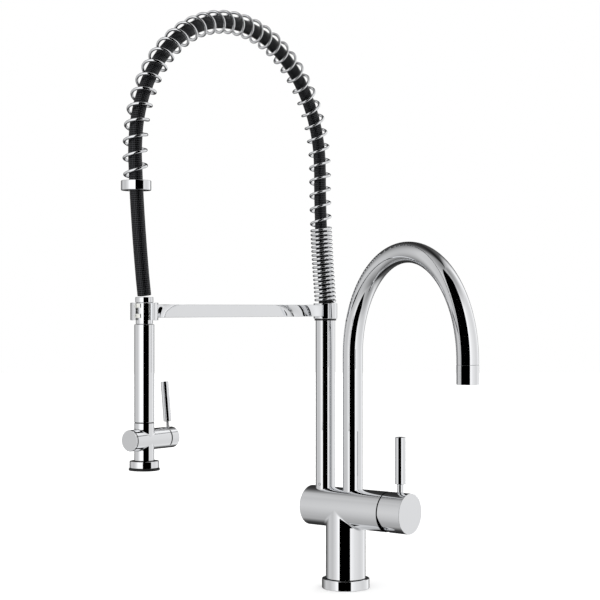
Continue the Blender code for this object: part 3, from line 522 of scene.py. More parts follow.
class FAUCET_OT_body(bpy.types.Operator):
    """Cast body: an upright post that runs into the barrel across its top"""
    bl_idname = "faucet.body"
    bl_label = "Body"

    def execute(self, context):
        low, high = (Vector(corner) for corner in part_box("body_casting"))
        barrel_z = high.z - BARREL_R
        left = min(low.x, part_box("barrel_end_plug")[0][0])
        edge = sizes().edge
        pipes = [(np.zeros(3), np.array((0, 0, 1.0)), BARREL_R, barrel_z),
                 (np.array((0, 0, barrel_z)), np.array((1.0, 0, 0)), BARREL_R, None)]
        bore, depth = POST_BORE
        foot = end_rings([(BARREL_R, edge), (bore, edge), (bore, -depth), (0.05 * MM, -depth)], -edge)
        seam_r, seam_depth = 15.2 * MM, 1 * MM
        plug_r = seam_r - 0.6 * MM
        closed = end_rings([(BARREL_R, edge), (seam_r, edge), (seam_r, -seam_depth), (plug_r, -seam_depth),
                            (plug_r, edge), (0.05 * MM, edge)], -edge)
        bore, depth = MIXER_BORE
        mouth = end_rings([(BARREL_R, edge), (bore, edge), (bore, -depth), (0.05 * MM, -depth)], -edge)
        ends = [((0, 0, low.z + edge), (0, 0, -1), foot),
                ((left + edge, 0, barrel_z), (-1, 0, 0), closed),
                ((high.x - edge, 0, barrel_z), (1, 0, 0), mouth)]
        shell = joined_pipes(pipes, sizes().fillet, 0.9 * MM, ends)
        piece("cast_body", [shell], "chrome", "root", ["body_casting", "barrel_end_plug"])
        return {"FINISHED"}


class FAUCET_OT_base(bpy.types.Operator):
    """Base flange round the foot of the post"""
    bl_idname = "faucet.base"
    bl_label = "Base flange"

    def execute(self, context):
        centre, radius, low, high = turned_about("base_flange", UP)
        gasket = turned_about("deck_gasket", UP)
        inner = 18.5 * MM
        groove = gasket[3] + GAP
        outer_wall = gasket[1] + GAP
        inner_wall = 21.9 * MM
        rows = [(radius, high), (radius, low), (outer_wall, low), (outer_wall, groove),
                (inner_wall, groove), (inner_wall, low), (inner, low), (inner, high), (radius, high)]
        piece("base_flange_polished", [turned(rows, UP, centre, edge=0.6 * MM)], "chrome", "root",
              ["base_flange"])
        return {"FINISHED"}


# ---------------------------------------------------------------- riser and gooseneck

class FAUCET_OT_riser(bpy.types.Operator):
    """Riser pipe with its set screw"""
    bl_idname = "faucet.riser"
    bl_label = "Riser"

    def execute(self, context):
        centre, radius, low, high = turned_about("riser_tube", UP)
        piece("riser_pipe", [turned(ring(radius, 9.95 * MM, low, high), UP, centre)], "chrome", "root",
              ["riser_tube"])
        centre, _, near, _ = turned_about("riser_set_screw", FORWARD)
        socket_screw(centre, FORWARD, 1.75 * MM, near, radius + 0.12 * MM, "root", "riser_grub_screw",
                     ["riser_set_screw"])
        centre, radius, low, high = turned_about("arm_thrust_ring", UP)
        piece("arm_bearing_ring", [turned(ring(radius, 11.65 * MM, low, high), UP, centre, edge=0.3 * MM)],
              "black_acetal", "root", ["arm_thrust_ring"])
        return {"FINISHED"}


SPOUT_HEADING = math.radians(-23.2)
SPOUT_BEND_R = 115.0 * MM
SPOUT_X = 10.1 * MM
SPOUT_R = 11.5 * MM
SPOUT_SPRING_Z = 269.7 * MM


class FAUCET_OT_gooseneck(bpy.types.Operator):
    """Swivel gooseneck with its aerator"""
    bl_idname = "faucet.gooseneck"
    bl_label = "Gooseneck"

    def execute(self, context):
        foot_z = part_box("gooseneck_tube")[0][2]
        across = Vector((math.cos(SPOUT_HEADING), math.sin(SPOUT_HEADING), 0))
        foot = Vector((SPOUT_X, 0, foot_z))
        arch = [Vector((SPOUT_X, 0, SPOUT_SPRING_Z)) + across * SPOUT_BEND_R * (1 - math.cos(angle))
                + UP * SPOUT_BEND_R * math.sin(angle)
                for angle in (math.pi * i / 128 for i in range(129))]
        sleeve_at, sleeve_r, sleeve_low, sleeve_high = turned_about("aerator_sleeve", UP)
        outlet = Vector((*arch[-1].xy, sleeve_high + GAP))
        piece("gooseneck_pipe", [swept([foot] + arch + [outlet], SPOUT_R, sizes().rounds)], "chrome",
              "gooseneck", ["gooseneck_tube"])
        rows = ring(sleeve_r, 10.2 * MM, sleeve_low, sleeve_high)
        piece("aerator_sleeve_polished", [turned(rows, UP, sleeve_at, edge=0.35 * MM)], "chrome",
              "gooseneck", ["aerator_sleeve"])
        at, outer, low_z, high_z = turned_about("aerator_insert", UP)
        outlet = at + UP * low_z
        shells = [turned(ring(outer, 8.6 * MM, low_z, high_z), UP, at, edge=0.3 * MM),
                  turned(solid(8.7 * MM, low_z + 2 * MM, low_z + 3 * MM), UP, at, edge=0.1 * MM)]
        for count in range(1, 6):
            middle = 1.55 * MM * count
            shells.append(turned(ring(middle + 0.25 * MM, middle - 0.25 * MM, low_z + 0.4 * MM,
                                      low_z + 2.2 * MM), UP, at, edge=0.1 * MM, rounds=48))
        for spoke in range(8):
            angle = math.pi * spoke / 8
            reach = Vector((math.cos(angle), math.sin(angle), 0)) * 8.7 * MM
            lift = UP * 1.2 * MM
            shells.append(swept([outlet - reach + lift, outlet + lift, outlet + reach + lift], 0.3 * MM, 8))
        piece("aerator_screen", shells, "acetal", "gooseneck", ["aerator_insert"])
        return {"FINISHED"}


# ---------------------------------------------------------------- mixer handle

CAP_RELIEF_START = 2.0 * MM
CAP_RELIEF_ANGLE = math.radians(17.4)
CAP_FLOOR = 74.0 * MM
CAP_WALL = 2.4 * MM
CAP_BOSS_R = 7.5 * MM
CAP_BOSS_END = 71.0 * MM
DOME_AT = 56.0 * MM
DOME_R = 19.5 * MM
DOME_WALL = 1.2 * MM
DOME_MOUTH = math.radians(42)
SKIRT_R = 18.1 * MM
SKIRT_INNER_R = 16.6 * MM
SKIRT_FOOT = 52.6 * MM
LEVER_SHOULDER = 125.0 * MM
LEVER_NECK_R = 3.65 * MM
LEVER_TAIL_R = 2.2 * MM


class FAUCET_OT_mixer(bpy.types.Operator):
    """Mixer cap, the domed trim under it and the upright lever"""
    bl_idname = "faucet.mixer"
    bl_label = "Mixer handle"

    def execute(self, context):
        _, _, rim, face = turned_about("handle_cap", ALONG_X)
        # The box is lower than the axis on the relieved side, so the axis comes from the dome's trim ring.
        axis_at = turned_about("cartridge_dome", ALONG_X)[0]
        relief_reach = rim + 3.5 * MM

        def relieve(place):
            """Draw the rim back below the axis, so that the cap can tilt over the body."""
            depth = axis_at.z - CAP_RELIEF_START - place.z
            if depth <= 0 or place.x >= relief_reach:
                return place
            return place + ALONG_X * depth * math.tan(CAP_RELIEF_ANGLE)

        radius, cavity = BARREL_R, BARREL_R - CAP_WALL
        rows = [(0, face), (radius, face), (radius, rim), (cavity, rim), (cavity, CAP_FLOOR),
                (CAP_BOSS_R, CAP_FLOOR), (CAP_BOSS_R, CAP_BOSS_END), (0, CAP_BOSS_END)]
        piece("mixer_cap", [turned(rows, ALONG_X, axis_at, shift=relieve)], "chrome", "mixer_handle",
              ["handle_cap"])

        inner_r = DOME_R - DOME_WALL
        start = math.acos((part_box("body_casting")[1][0] + GAP - DOME_AT) / DOME_R)
        angles = [DOME_MOUTH + (start - DOME_MOUTH) * i / 20 for i in range(21)]
        outer = [(DOME_R * math.sin(a), DOME_AT + DOME_R * math.cos(a)) for a in angles]
        inner = [(inner_r * math.sin(a), DOME_AT + inner_r * math.cos(a))
                 for a in reversed(angles) if inner_r * math.sin(a) < SKIRT_INNER_R]
        knee = DOME_AT + math.sqrt(inner_r ** 2 - SKIRT_INNER_R ** 2)
        skirt = [(SKIRT_R, outer[-1][1]), (SKIRT_R, SKIRT_FOOT), (SKIRT_INNER_R, SKIRT_FOOT),
                 (SKIRT_INNER_R, knee)]
        rows = outer + skirt + inner + outer[:1]
        piece("mixer_dome", [turned(rows, ALONG_X, axis_at, edge=0.05 * MM)], "chrome", "root",
              ["cartridge_dome"])

        low, high = (Vector(corner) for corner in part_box("mixer_lever"))
        grip = (high.x - low.x) / 2
        at = ((low.x + high.x) / 2, 0, 0)
        foot = axis_at.z + radius + GAP
        rows = [(0, high.z), (grip, high.z), (grip, LEVER_SHOULDER), (LEVER_NECK_R, LEVER_SHOULDER),
                (LEVER_NECK_R, foot), (LEVER_TAIL_R, foot), (LEVER_TAIL_R, low.z), (0, low.z)]
        piece("mixer_lever_rod", [turned(rows, UP, at, edge=0.8 * MM)], "chrome", "mixer_handle",
              ["mixer_lever"])
        return {"FINISHED"}


# ---------------------------------------------------------------- arm and clip

ARM_BAR_Z = (314.0 * MM, 327.5 * MM)
ARM_HALF = 2.5 * MM
ARM_BOSS = 9.0 * MM
CLIP_R = (10.8 * MM, 14.1 * MM)
CLIP_OPENING = 17.4 * MM
CLIP_HEADING = math.radians(36.0)
LINER_R = (9.5 * MM, 10.5 * MM)
FINGER_Z = ((313.8 * MM, 318.0 * MM), (324.2 * MM, 328.3 * MM))
COLLAR_R = 13.8 * MM
COLLAR_BORE_R = 12.6 * MM
HEAD_DISTANCE = 305.0 * MM
# Distances from the riser's axis at which the bar starts and stops thickening, at its lower and upper edge.
RISER_END = ((68 * MM, 39 * MM), (104 * MM, 52 * MM))
CLIP_END = ((27 * MM, 14 * MM), (62 * MM, 32 * MM))  # from the spray head's axis


def bar_rows(dip):
    """Distance from the riser and half thickness along the bar, at one share of its height.

    Each end swells out of the flat bar like the side of an ellipse, up to a crest, then narrows.
    """
    rise, steps, flat_steps = ARM_BOSS - ARM_HALF, 24, 30
    web = ARM_HALF + 0.6 * rise

    def end(knots, bluntness):
        (low_start, low_crest), (top_start, top_crest) = knots
        start = low_start + (top_start - low_start) * dip
        crest = low_crest + (top_crest - low_crest) * dip
        foot = 13 * MM
        rows = []
        for i in range(steps):
            share = i / steps
            swell = share * share * (3 - 2 * share)
            rows.append((foot + (crest - foot) * share, web + (ARM_BOSS - web) * swell))
        for i in range(steps + 1):
            angle = math.pi / 2 * i / steps
            bulge = math.cos(angle) ** bluntness
            rows.append((crest + (start - crest) * math.sin(angle), ARM_HALF + rise * bulge))
        return rows

    near = end(RISER_END, 0.6)
    far = [(HEAD_DISTANCE - distance, half) for distance, half in reversed(end(CLIP_END, 1.0))]
    first, last = near[-1][0], far[0][0]
    middle = [(first + (last - first) * i / flat_steps, ARM_HALF) for i in range(1, flat_steps)]
    return near + middle + far


def bar_shell(riser_x):
    """The flat bar of the arm, thickening towards the collar and the clip."""
    low, high = ARM_BAR_Z
    tall, corner, steps = high - low, 0.6 * MM, 24
    loop = []
    for i in range(steps + 1):
        loop.append((1, low + corner + (tall - 2 * corner) * i / steps, 0.0))
    for way in (1, -1):
        for i in range(1, 4):
            angle = math.pi / 2 * (i if way > 0 else 4 - i) / 4
            loop.append((way, high - corner + corner * math.sin(angle), corner * (1 - math.cos(angle))))
    for i in range(steps + 1):
        loop.append((-1, high - corner - (tall - 2 * corner) * i / steps, 0.0))
    for way in (-1, 1):
        for i in range(1, 4):
            angle = math.pi / 2 * (i if way < 0 else 4 - i) / 4
            loop.append((way, low + corner - corner * math.sin(angle), corner * (1 - math.cos(angle))))
    columns = []
    for way, z, inset in loop:
        height = min(max((z - low) / tall, 0.0), 1.0)
        dip = 1 - math.sqrt(max(1 - height ** 2, 0.0))
        column = [[distance, half - inset] for distance, half in bar_rows(dip)]
        column[0][0] = math.sqrt((13.2 * MM) ** 2 - column[0][1] ** 2)
        column[-1][0] = HEAD_DISTANCE - math.sqrt((13.0 * MM) ** 2 - column[-1][1] ** 2)
        columns.append([Vector((riser_x + way * half, -distance, z)) for distance, half in column])
    rows, count = len(columns[0]) - 1, len(loop)
    vertices = [column[row] for row in range(rows + 1) for column in columns]
    faces = []
    for row in range(rows):
        for i in range(count):
            j = (i + 1) % count
            faces.append([row * count + i, (row + 1) * count + i, (row + 1) * count + j, row * count + j])
    faces.append(list(range(count)))
    faces.append(list(range(rows * count, (rows + 1) * count))[::-1])
    mesh = bpy.data.meshes.new("bar")
    mesh.from_pydata([tuple(v) for v in vertices], [], faces)
    shape = bmesh.new()
    shape.from_mesh(mesh)
    bmesh.ops.recalc_face_normals(shape, faces=shape.faces)
    shape.normal_update()
    faces = [[v.index for v in face.verts] for face in shape.faces]
    weighted = []
    for vertex in shape.verts:
        normal = Vector((0, 0, 0))
        for face in vertex.link_faces:
            if len(face.verts) == 4:
                normal += face.normal * face.calc_area()
        weighted.append(normal.normalized())
    shape.free()
    bpy.data.meshes.remove(mesh)
    return vertices, faces, weighted


class FAUCET_OT_arm(bpy.types.Operator):
    """Arm that turns on the riser, and the clip that holds the spray head"""
    bl_idname = "faucet.arm"
    bl_label = "Arm and clip"

    def execute(self, context):
        riser = turned_about("riser_tube", UP)[0]
        low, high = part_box("holder_arm")[0][2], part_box("holder_arm")[1][2]
        head = riser + FORWARD * HEAD_DISTANCE
        inner, outer = CLIP_R
        spread = math.asin(CLIP_OPENING / 2 / ((inner + outer) / 2))
        clip = band(ring(outer, inner, low, high), head, CLIP_HEADING + spread,
                    CLIP_HEADING - spread + 2 * math.pi, 96)
        collar = turned(ring(COLLAR_R, COLLAR_BORE_R, low, high), UP, riser)
        piece("docking_arm", [collar, bar_shell(riser.x), clip], "chrome", "boom", ["holder_arm"])
        inner, outer = LINER_R
        spread = math.asin(CLIP_OPENING / 2 / outer)
        shells = [band(ring(outer, inner, low + GAP, high - GAP), head, CLIP_HEADING + spread,
                       CLIP_HEADING - spread + 2 * math.pi, 72, 0.2 * MM)]
        for bottom, top in FINGER_Z:
            shells.append(band(ring(outer, inner, bottom, top), head, CLIP_HEADING - spread - 0.1,
                               math.radians(18), 16, 0.2 * MM))
        piece("clip_lining", shells, "acetal", "boom", ["clip_liner"])
        return {"FINISHED"}


# ---------------------------------------------------------------- spring guard and hose

ARC_CENTRE = (-164.5 * MM, 484.0 * MM)  # Y and Z
ARC_HALF_WIDTH = 154.0 * MM
ARC_RISE = 149.5 * MM
LEAN_FOOT_Z = 335.0 * MM  # the hose starts to lean here, on both sides
RISE_BOW = 2.0
DROP_BOW = 1.5
RING_DISTANCE = 317.0 * MM
RING_TOP = 452.4 * MM
GUARD_R = 11.2 * MM
GUARD_START_Z = 331.0 * MM
HOSE_START_Z = 339.6 * MM
CLOSE_COIL_TOP = 417.0 * MM
CLOSE_PITCH = 4.75 * MM
OPEN_PITCH = 16.2 * MM
HOSE_R = 7.0 * MM
HOSE_END = 336.6 * MM


def leaning(foot_y, top_y, bow, steps=8):
    """Points from a foot up to the arc's end, leaning at first and upright at the top."""
    rise = ARC_CENTRE[1] - LEAN_FOOT_Z
    shares = [i / steps for i in range(steps)]
    return [Vector((0, foot_y + (top_y - foot_y) * (1 - (1 - share) ** bow), LEAN_FOOT_Z + rise * share))
            for share in shares]


def hose_places(start_z, end):
    """The hose's line: a leaning rise from the riser, an elliptic arc and a drop to the end point."""
    middle_y, middle_z = ARC_CENTRE
    steps = 18
    angles = [math.pi * i / steps for i in range(steps + 1)]
    arc = [Vector((0, middle_y + ARC_HALF_WIDTH * math.cos(a), middle_z + ARC_RISE * math.sin(a)))
           for a in angles]
    rise = leaning(0, middle_y + ARC_HALF_WIDTH, RISE_BOW)
    drop = leaning(-HEAD_DISTANCE, middle_y - ARC_HALF_WIDTH, DROP_BOW)[::-1]
    clear = 5 * MM
    return ([Vector((0, 0, start_z))] + [place for place in rise if place.z > start_z + clear] + arc
            + [place for place in drop if place.z > end.z + clear] + [end])


def smooth_route(points, spacing):
    """Points at an even spacing along a smooth curve through the given ones."""
    dense = []
    for i in range(len(points) - 1):
        before = points[max(i - 1, 0)]
        start, end = points[i], points[i + 1]
        after = points[min(i + 2, len(points) - 1)]
        for step in range(12):
            t = step / 12
            dense.append(0.5 * (2 * start + (end - before) * t
                                + (2 * before - 5 * start + 4 * end - after) * t ** 2
                                + (3 * start - before - 3 * end + after) * t ** 3))
    dense.append(points[-1])
    travelled = [0.0]
    for first, second in zip(dense, dense[1:]):
        travelled.append(travelled[-1] + (second - first).length)
    count = max(2, round(travelled[-1] / spacing))
    even, at = [], 0
    for i in range(count + 1):
        target = travelled[-1] * i / count
        while at < len(travelled) - 2 and travelled[at + 1] < target:
            at += 1
        share = (target - travelled[at]) / (travelled[at + 1] - travelled[at])
        even.append(dense[at].lerp(dense[at + 1], min(max(share, 0.0), 1.0)))
    return even


def stretch_to_head(obj):
    """Bake the piece's placement into its mesh; it rides on no body."""
    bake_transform(obj)


class FAUCET_OT_guard(bpy.types.Operator):
    """Spring over the hose, close wound above the riser and open over the arc"""
    bl_idname = "faucet.guard"
    bl_label = "Spring guard"

    def execute(self, context):
        wire = sizes().wire
        riser_x = turned_about("riser_tube", UP)[0].x
        end = Vector((0, -RING_DISTANCE, RING_TOP + wire + GAP))
        centre = smooth_route(hose_places(GUARD_START_Z, end), 1 * MM)
        points, phase, next_phase = [], 0.0, 0.0
        step = 2 * math.pi / 28
        for i in range(len(centre) - 1):
            along = centre[i + 1] - centre[i]
            close = centre[i].y > ARC_CENTRE[0] and centre[i].z < CLOSE_COIL_TOP
            turn = 2 * math.pi * along.length / (CLOSE_PITCH if close else OPEN_PITCH)
            outward = ALONG_X.cross(along.normalized())
            while next_phase < phase + turn:
                middle = centre[i] + along * ((next_phase - phase) / turn)
                arm = ALONG_X * math.cos(next_phase) - outward * math.sin(next_phase)
                points.append(middle + arm * GUARD_R + ALONG_X * riser_x)
                next_phase += step
            phase += turn
        guard = piece("guard_spring", [swept(points, wire, 14)], "wire", None, ["spring_guard"])
        stretch_to_head(guard)
        return {"FINISHED"}


class FAUCET_OT_hose(bpy.types.Operator):
    """Braided hose from the riser to the spray head"""
    bl_idname = "faucet.hose"
    bl_label = "Hose"

    def execute(self, context):
        riser_x = turned_about("riser_tube", UP)[0].x
        places = hose_places(HOSE_START_Z, Vector((0, -HEAD_DISTANCE, HOSE_END)))
        route = [place + ALONG_X * riser_x for place in smooth_route(places, 0.7 * MM)]
        pitch = sizes().braid
        carriers = 24

        def relief(around, along):
            """Threads stand proud in the middle of each diamond."""
            first = around * carriers + along / pitch
            second = around * carriers - along / pitch
            return 0.10 * MM * (abs(math.sin(math.pi * first) * math.sin(math.pi * second)) - 0.5)

        sides = 72
        shell = swept(route, HOSE_R - 0.05 * MM, sides, relief)
        hose = piece("spray_hose_braided", [shell], "braid", None, ["spray_hose"])
        mesh = hose.data
        layer = mesh.uv_layers.new(name="braid")
        spacing = sum((b - a).length for a, b in zip(route, route[1:])) / (len(route) - 1)
        for polygon in mesh.polygons:
            first_column = min(mesh.loops[k].vertex_index % sides for k in polygon.loop_indices)
            wraps = first_column == 0 and any(
                mesh.loops[k].vertex_index % sides == sides - 1 for k in polygon.loop_indices)
            for k in polygon.loop_indices:
                index = mesh.loops[k].vertex_index
                column, row = index % sides, index // sides
                around = (column + (sides if wraps and column == 0 else 0)) / sides
                along = row * spacing / pitch
                layer.data[k].uv = (around * carriers + along, around * carriers - along)
        stretch_to_head(hose)
        return {"FINISHED"}


# ---------------------------------------------------------------- spray head

HANDLE_INNER_R = 8.2 * MM
VALVE_R = 10.75 * MM
VALVE_BORE_R = 7.2 * MM
FRONT_PLUG_SPIGOT_R = 6.8 * MM
NECK_SPIGOT_R = 7.8 * MM
NECK_BORE_R = 4.0 * MM
COLLAR_SKIRT_R = 12.9 * MM
COLLAR_FLOOR_Z = 166.4 * MM
SPRAY_LEVER_AT = 268.7 * MM  # forward of the riser
SPRAY_LEVER_LEAN = math.radians(6.0)
SPRAY_LEVER_LENGTHS = (5.5 * MM, 16.3 * MM, 57.5 * MM)  # foot, shoulder and top from the valve's axis
SPRAY_LEVER_R = (1.8 * MM, 4.0 * MM)  # neck and grip


class FAUCET_OT_spray_head(bpy.types.Operator):
    """Spray head: end ring, hose nut, handle tube, valve barrel and nozzle"""
    bl_idname = "faucet.spray_head"
    bl_label = "Spray head"

    def execute(self, context):
        edge = sizes().edge
        for name, node, inner in (("spring_end_collar", "spring_end_ring", 8.0 * MM),
                                  ("hose_nut_polished", "hose_nut", 4.0 * MM),
                                  ("spray_handle_tube", "spray_handle", HANDLE_INNER_R)):
            centre, radius, low, high = turned_about(node, UP)
            piece(name, [turned(ring(radius, inner, low, high), UP, centre, edge=0.7 * MM)], "chrome",
                  "spray_head", [node])
        centre, radius, low, high = turned_about("spray_neck", UP)
        head, handle_r, handle_foot, handle_top = turned_about("spray_handle", UP)
        rows = [(radius, high), (radius, handle_top + GAP), (NECK_SPIGOT_R, handle_top + GAP),
                (NECK_SPIGOT_R, low), (NECK_BORE_R, low), (NECK_BORE_R, high), (radius, high)]
        piece("spray_neck_pipe", [turned(rows, UP, centre)], "chrome", "spray_head", ["spray_neck"])

        low, high = (Vector(corner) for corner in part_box("spray_body"))
        valve_z = turned_about("front_plug", FORWARD)[0].z
        bottom = turned_about("spray_collar", UP)[3] + GAP
        top = handle_foot - GAP
        crossing = np.array((head.x, head.y, valve_z))
        pipes = [(crossing, np.array((0, 0, 1.0)), handle_r, None),
                 (crossing, np.array((0, 1.0, 0)), VALVE_R, None)]
        cap = 0.05 * MM

        def blunt(radius):
            return end_rings([(radius, edge), (cap, edge)], -edge)

        def bored(radius, bore, depth):
            return end_rings([(radius, edge), (bore, edge), (bore, -depth), (cap, -depth)], -edge)

        ends = [((head.x, head.y, bottom + edge), (0, 0, -1), blunt(handle_r)),
                ((head.x, head.y, top - edge), (0, 0, 1), blunt(handle_r)),
                ((head.x, low.y + edge, valve_z), (0, -1, 0), bored(VALVE_R, VALVE_BORE_R, 6 * MM)),
                ((head.x, high.y - edge, valve_z), (0, 1, 0), bored(VALVE_R, VALVE_BORE_R, 8 * MM))]
        shell = joined_pipes(pipes, 1.6 * MM, 0.55 * MM, ends)
        piece("spray_valve_body", [shell], "chrome", "spray_head", ["spray_body"])

        centre, radius, near, far = turned_about("front_plug", FORWARD)
        shoulder = -low.y + GAP
        rows = [(0, far), (radius, far), (radius, shoulder), (FRONT_PLUG_SPIGOT_R, shoulder),
                (FRONT_PLUG_SPIGOT_R, near), (0, near)]
        piece("spray_front_plug", [turned(rows, FORWARD, centre, edge=0.6 * MM)], "chrome", "spray_head",
              ["front_plug"])
        self.nozzle()
        return {"FINISHED"}

    def nozzle(self):
        """Collar and rubber face with its nubs."""
        centre, radius, low, high = turned_about("spray_collar", UP)
        rows = [(radius, high), (radius, low), (COLLAR_SKIRT_R, low), (COLLAR_SKIRT_R, COLLAR_FLOOR_Z),
                (NECK_SPIGOT_R, COLLAR_FLOOR_Z), (NECK_SPIGOT_R, high), (radius, high)]
        piece("nozzle_collar", [turned(rows, UP, centre, edge=0.6 * MM)], "chrome", "spray_head",
              ["spray_collar"])
        centre, radius, face, top = turned_about("spray_face", UP)
        recess = face + 0.8 * MM
        rows = [(0, top), (12.4 * MM, top), (12.4 * MM, low - GAP), (radius, low - GAP),
                (radius, face), (13.5 * MM, face), (13.5 * MM, recess), (0, recess)]
        shells = [turned(rows, UP, centre, edge=0.5 * MM)]
        for count, reach in ((1, 0.0), (6, 3.7 * MM), (12, 7.3 * MM), (18, 10.9 * MM)):
            for i in range(count):
                angle = 2 * math.pi * i / count
                at = centre + Vector((math.cos(angle), math.sin(angle), 0)) * reach
                tip = face + 0.1 * MM
                nub = [(0, recess + 0.1 * MM), (1.1 * MM, recess + 0.1 * MM), (0.7 * MM, tip),
                       (0.35 * MM, tip), (0.35 * MM, tip + 0.5 * MM), (0, tip + 0.5 * MM)]
                shells.append(turned(nub, UP, at, edge=0.12 * MM, rounds=16))
        piece("nozzle_face", shells, "rubber", "spray_head", ["spray_face"])


class FAUCET_OT_spray_valve(bpy.types.Operator):
    """Knob and lever that turn the spray on"""
    bl_idname = "faucet.spray_valve"
    bl_label = "Spray lever"

    def execute(self, context):
        centre, _, rear, front = turned_about("valve_knob", FORWARD)
        centre.z = turned_about("front_plug", FORWARD)[0].z
        rows = [(0, front), (VALVE_R, front), (VALVE_R, rear), (0, rear)]
        piece("spray_knob", [turned(rows, FORWARD, centre, edge=1.6 * MM)], "chrome", "spray_valve",
              ["valve_knob"])
        axis = Vector((-math.sin(SPRAY_LEVER_LEAN), 0, math.cos(SPRAY_LEVER_LEAN)))
        at = Vector((centre.x, -SPRAY_LEVER_AT, centre.z))
        foot, shoulder, top = SPRAY_LEVER_LENGTHS
        neck, grip = SPRAY_LEVER_R
        rows = [(0, top), (grip, top), (grip, shoulder), (neck, shoulder), (neck, foot), (0, foot)]
        piece("spray_lever_rod", [turned(rows, axis, at, edge=0.5 * MM)], "chrome", "spray_valve",
              ["spray_lever"])
        return {"FINISHED"}


# ---------------------------------------------------------------- pieces inside

INNER = {
    "brass": ["base_insert", "riser_nipple", "diverter_sleeve", "spout_nipple",
              "cartridge_nut", "valve_gland", "valve_spindle"],
    "steel": ["spout_retaining_screw", "stem_pivot_pin", "cartridge_stem", "handle_set_screw"],
    "alumina": ["ceramic_disc_fixed", "ceramic_disc_moving"],
    "acetal": ["cartridge_body", "cartridge_carrier", "spout_swivel_washer"],
    "black_acetal": ["riser_top_nipple", "diverter_piston", "collar_bush", "check_valve", "flow_plate"],
    "rubber": ["deck_gasket", "end_plug_seal", "riser_nipple_seal", "cartridge_seal", "spout_oring_upper",
               "spout_oring_lower", "aerator_washer"],
}


class FAUCET_OT_inside(bpy.types.Operator):
    """Finishes of the CAD pieces inside the faucet"""
    bl_idname = "faucet.inside"
    bl_label = "Inner pieces"

    def execute(self, context):
        for kind, nodes in INNER.items():
            for name in nodes:
                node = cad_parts[name]
                for slot in node.material_slots:
                    slot.material = finish_named(kind)
        return {"FINISHED"}


# ---------------------------------------------------------------- stage

CAMERA_AT = (1.0552, -1.4370, 0.3242)
CAMERA_TURN = (math.radians(90.21), 0.0, math.radians(37.993))
TO_CAMERA = math.radians(-52.0)  # the way from the faucet to the camera, from +X towards +Y

# Brightness of the studio walls: degrees round from the camera, to the right, and a grey.
WALLS = ((-180, "#2A2A2A"), (-165, "#343434"), (-150, "#505050"), (-132, "#909090"), (-112, "#C8C8C8"),
         (-84, "#BEBEBE"), (-60, "#DADADA"), (-44, "#FFFFFF"), (20, "#FFFFFF"), (34, "#F2F2F2"),
         (52, "#E2E2E2"), (90, "#D4D4D4"), (116, "#E0E0E0"), (132, "#FAFAFA"), (146, "#D0D0D0"),
         (158, "#606060"), (180, "#2A2A2A"))
# Brightness against height: sine of the elevation and a grey.
HEIGHTS = ((-1.0, "#9A9A9A"), (-0.85, "#C8C8C8"), (-0.6, "#F0F0F0"), (0.0, "#FFFFFF"), (0.7, "#FFFFFF"),
           (0.85, "#D8D8D8"), (1.0, "#A8A8A8"))


def ramp(tree, factor, stops):
    """A colour ramp from (place from 0 to 1, hex grey) stops."""
    made = add_node(tree, "ShaderNodeValToRGB", {"Fac": factor})
    elements = made.color_ramp.elements
    while len(elements) > 1:
        elements.remove(elements[-1])
    elements[0].position, elements[0].color = stops[0][0], (*linear(stops[0][1]), 1.0)
    for place, colour in stops[1:]:
        elements.new(place).color = (*linear(colour), 1.0)
    return made.outputs["Color"]


def flat_panel(name, corners, colour, strength):
    """A staged panel that only mirrored rays meet."""
    mesh = bpy.data.meshes.new(name)
    mesh.from_pydata(corners, [], [(0, 1, 2, 3)])
    material = bpy.data.materials.new(name + "_cloth")
    material.use_nodes = True
    tree = material.node_tree
    tree.nodes.clear()
    light = add_node(tree, "ShaderNodeEmission", {"Color": (*linear(colour), 1.0), "Strength": strength})
    add_node(tree, "ShaderNodeOutputMaterial", {"Surface": light.outputs[0]})
    mesh.materials.append(material)
    panel = bpy.data.objects.new(name, mesh)
    bpy.context.scene.collection.objects.link(panel)
    panel.visible_camera = panel.visible_diffuse = panel.visible_shadow = False
    panel.visible_transmission = panel.visible_volume_scatter = False
    return panel


# Upright sides of the black flag: metres to the right of the faucet and towards the camera.
FLAG_EDGES = ((-0.217, 0.290), (0.195, 0.450))
FLAG_HEIGHTS = (-0.4, 1.3)


def beside_camera(across, towards, height):
    """A place given to the right of the faucet and towards the camera, as the camera sees it."""
    way = Vector((math.cos(TO_CAMERA), math.sin(TO_CAMERA), 0))
    right = Vector((-way.y, way.x, 0))
    return tuple(right * across + way * towards + UP * height)


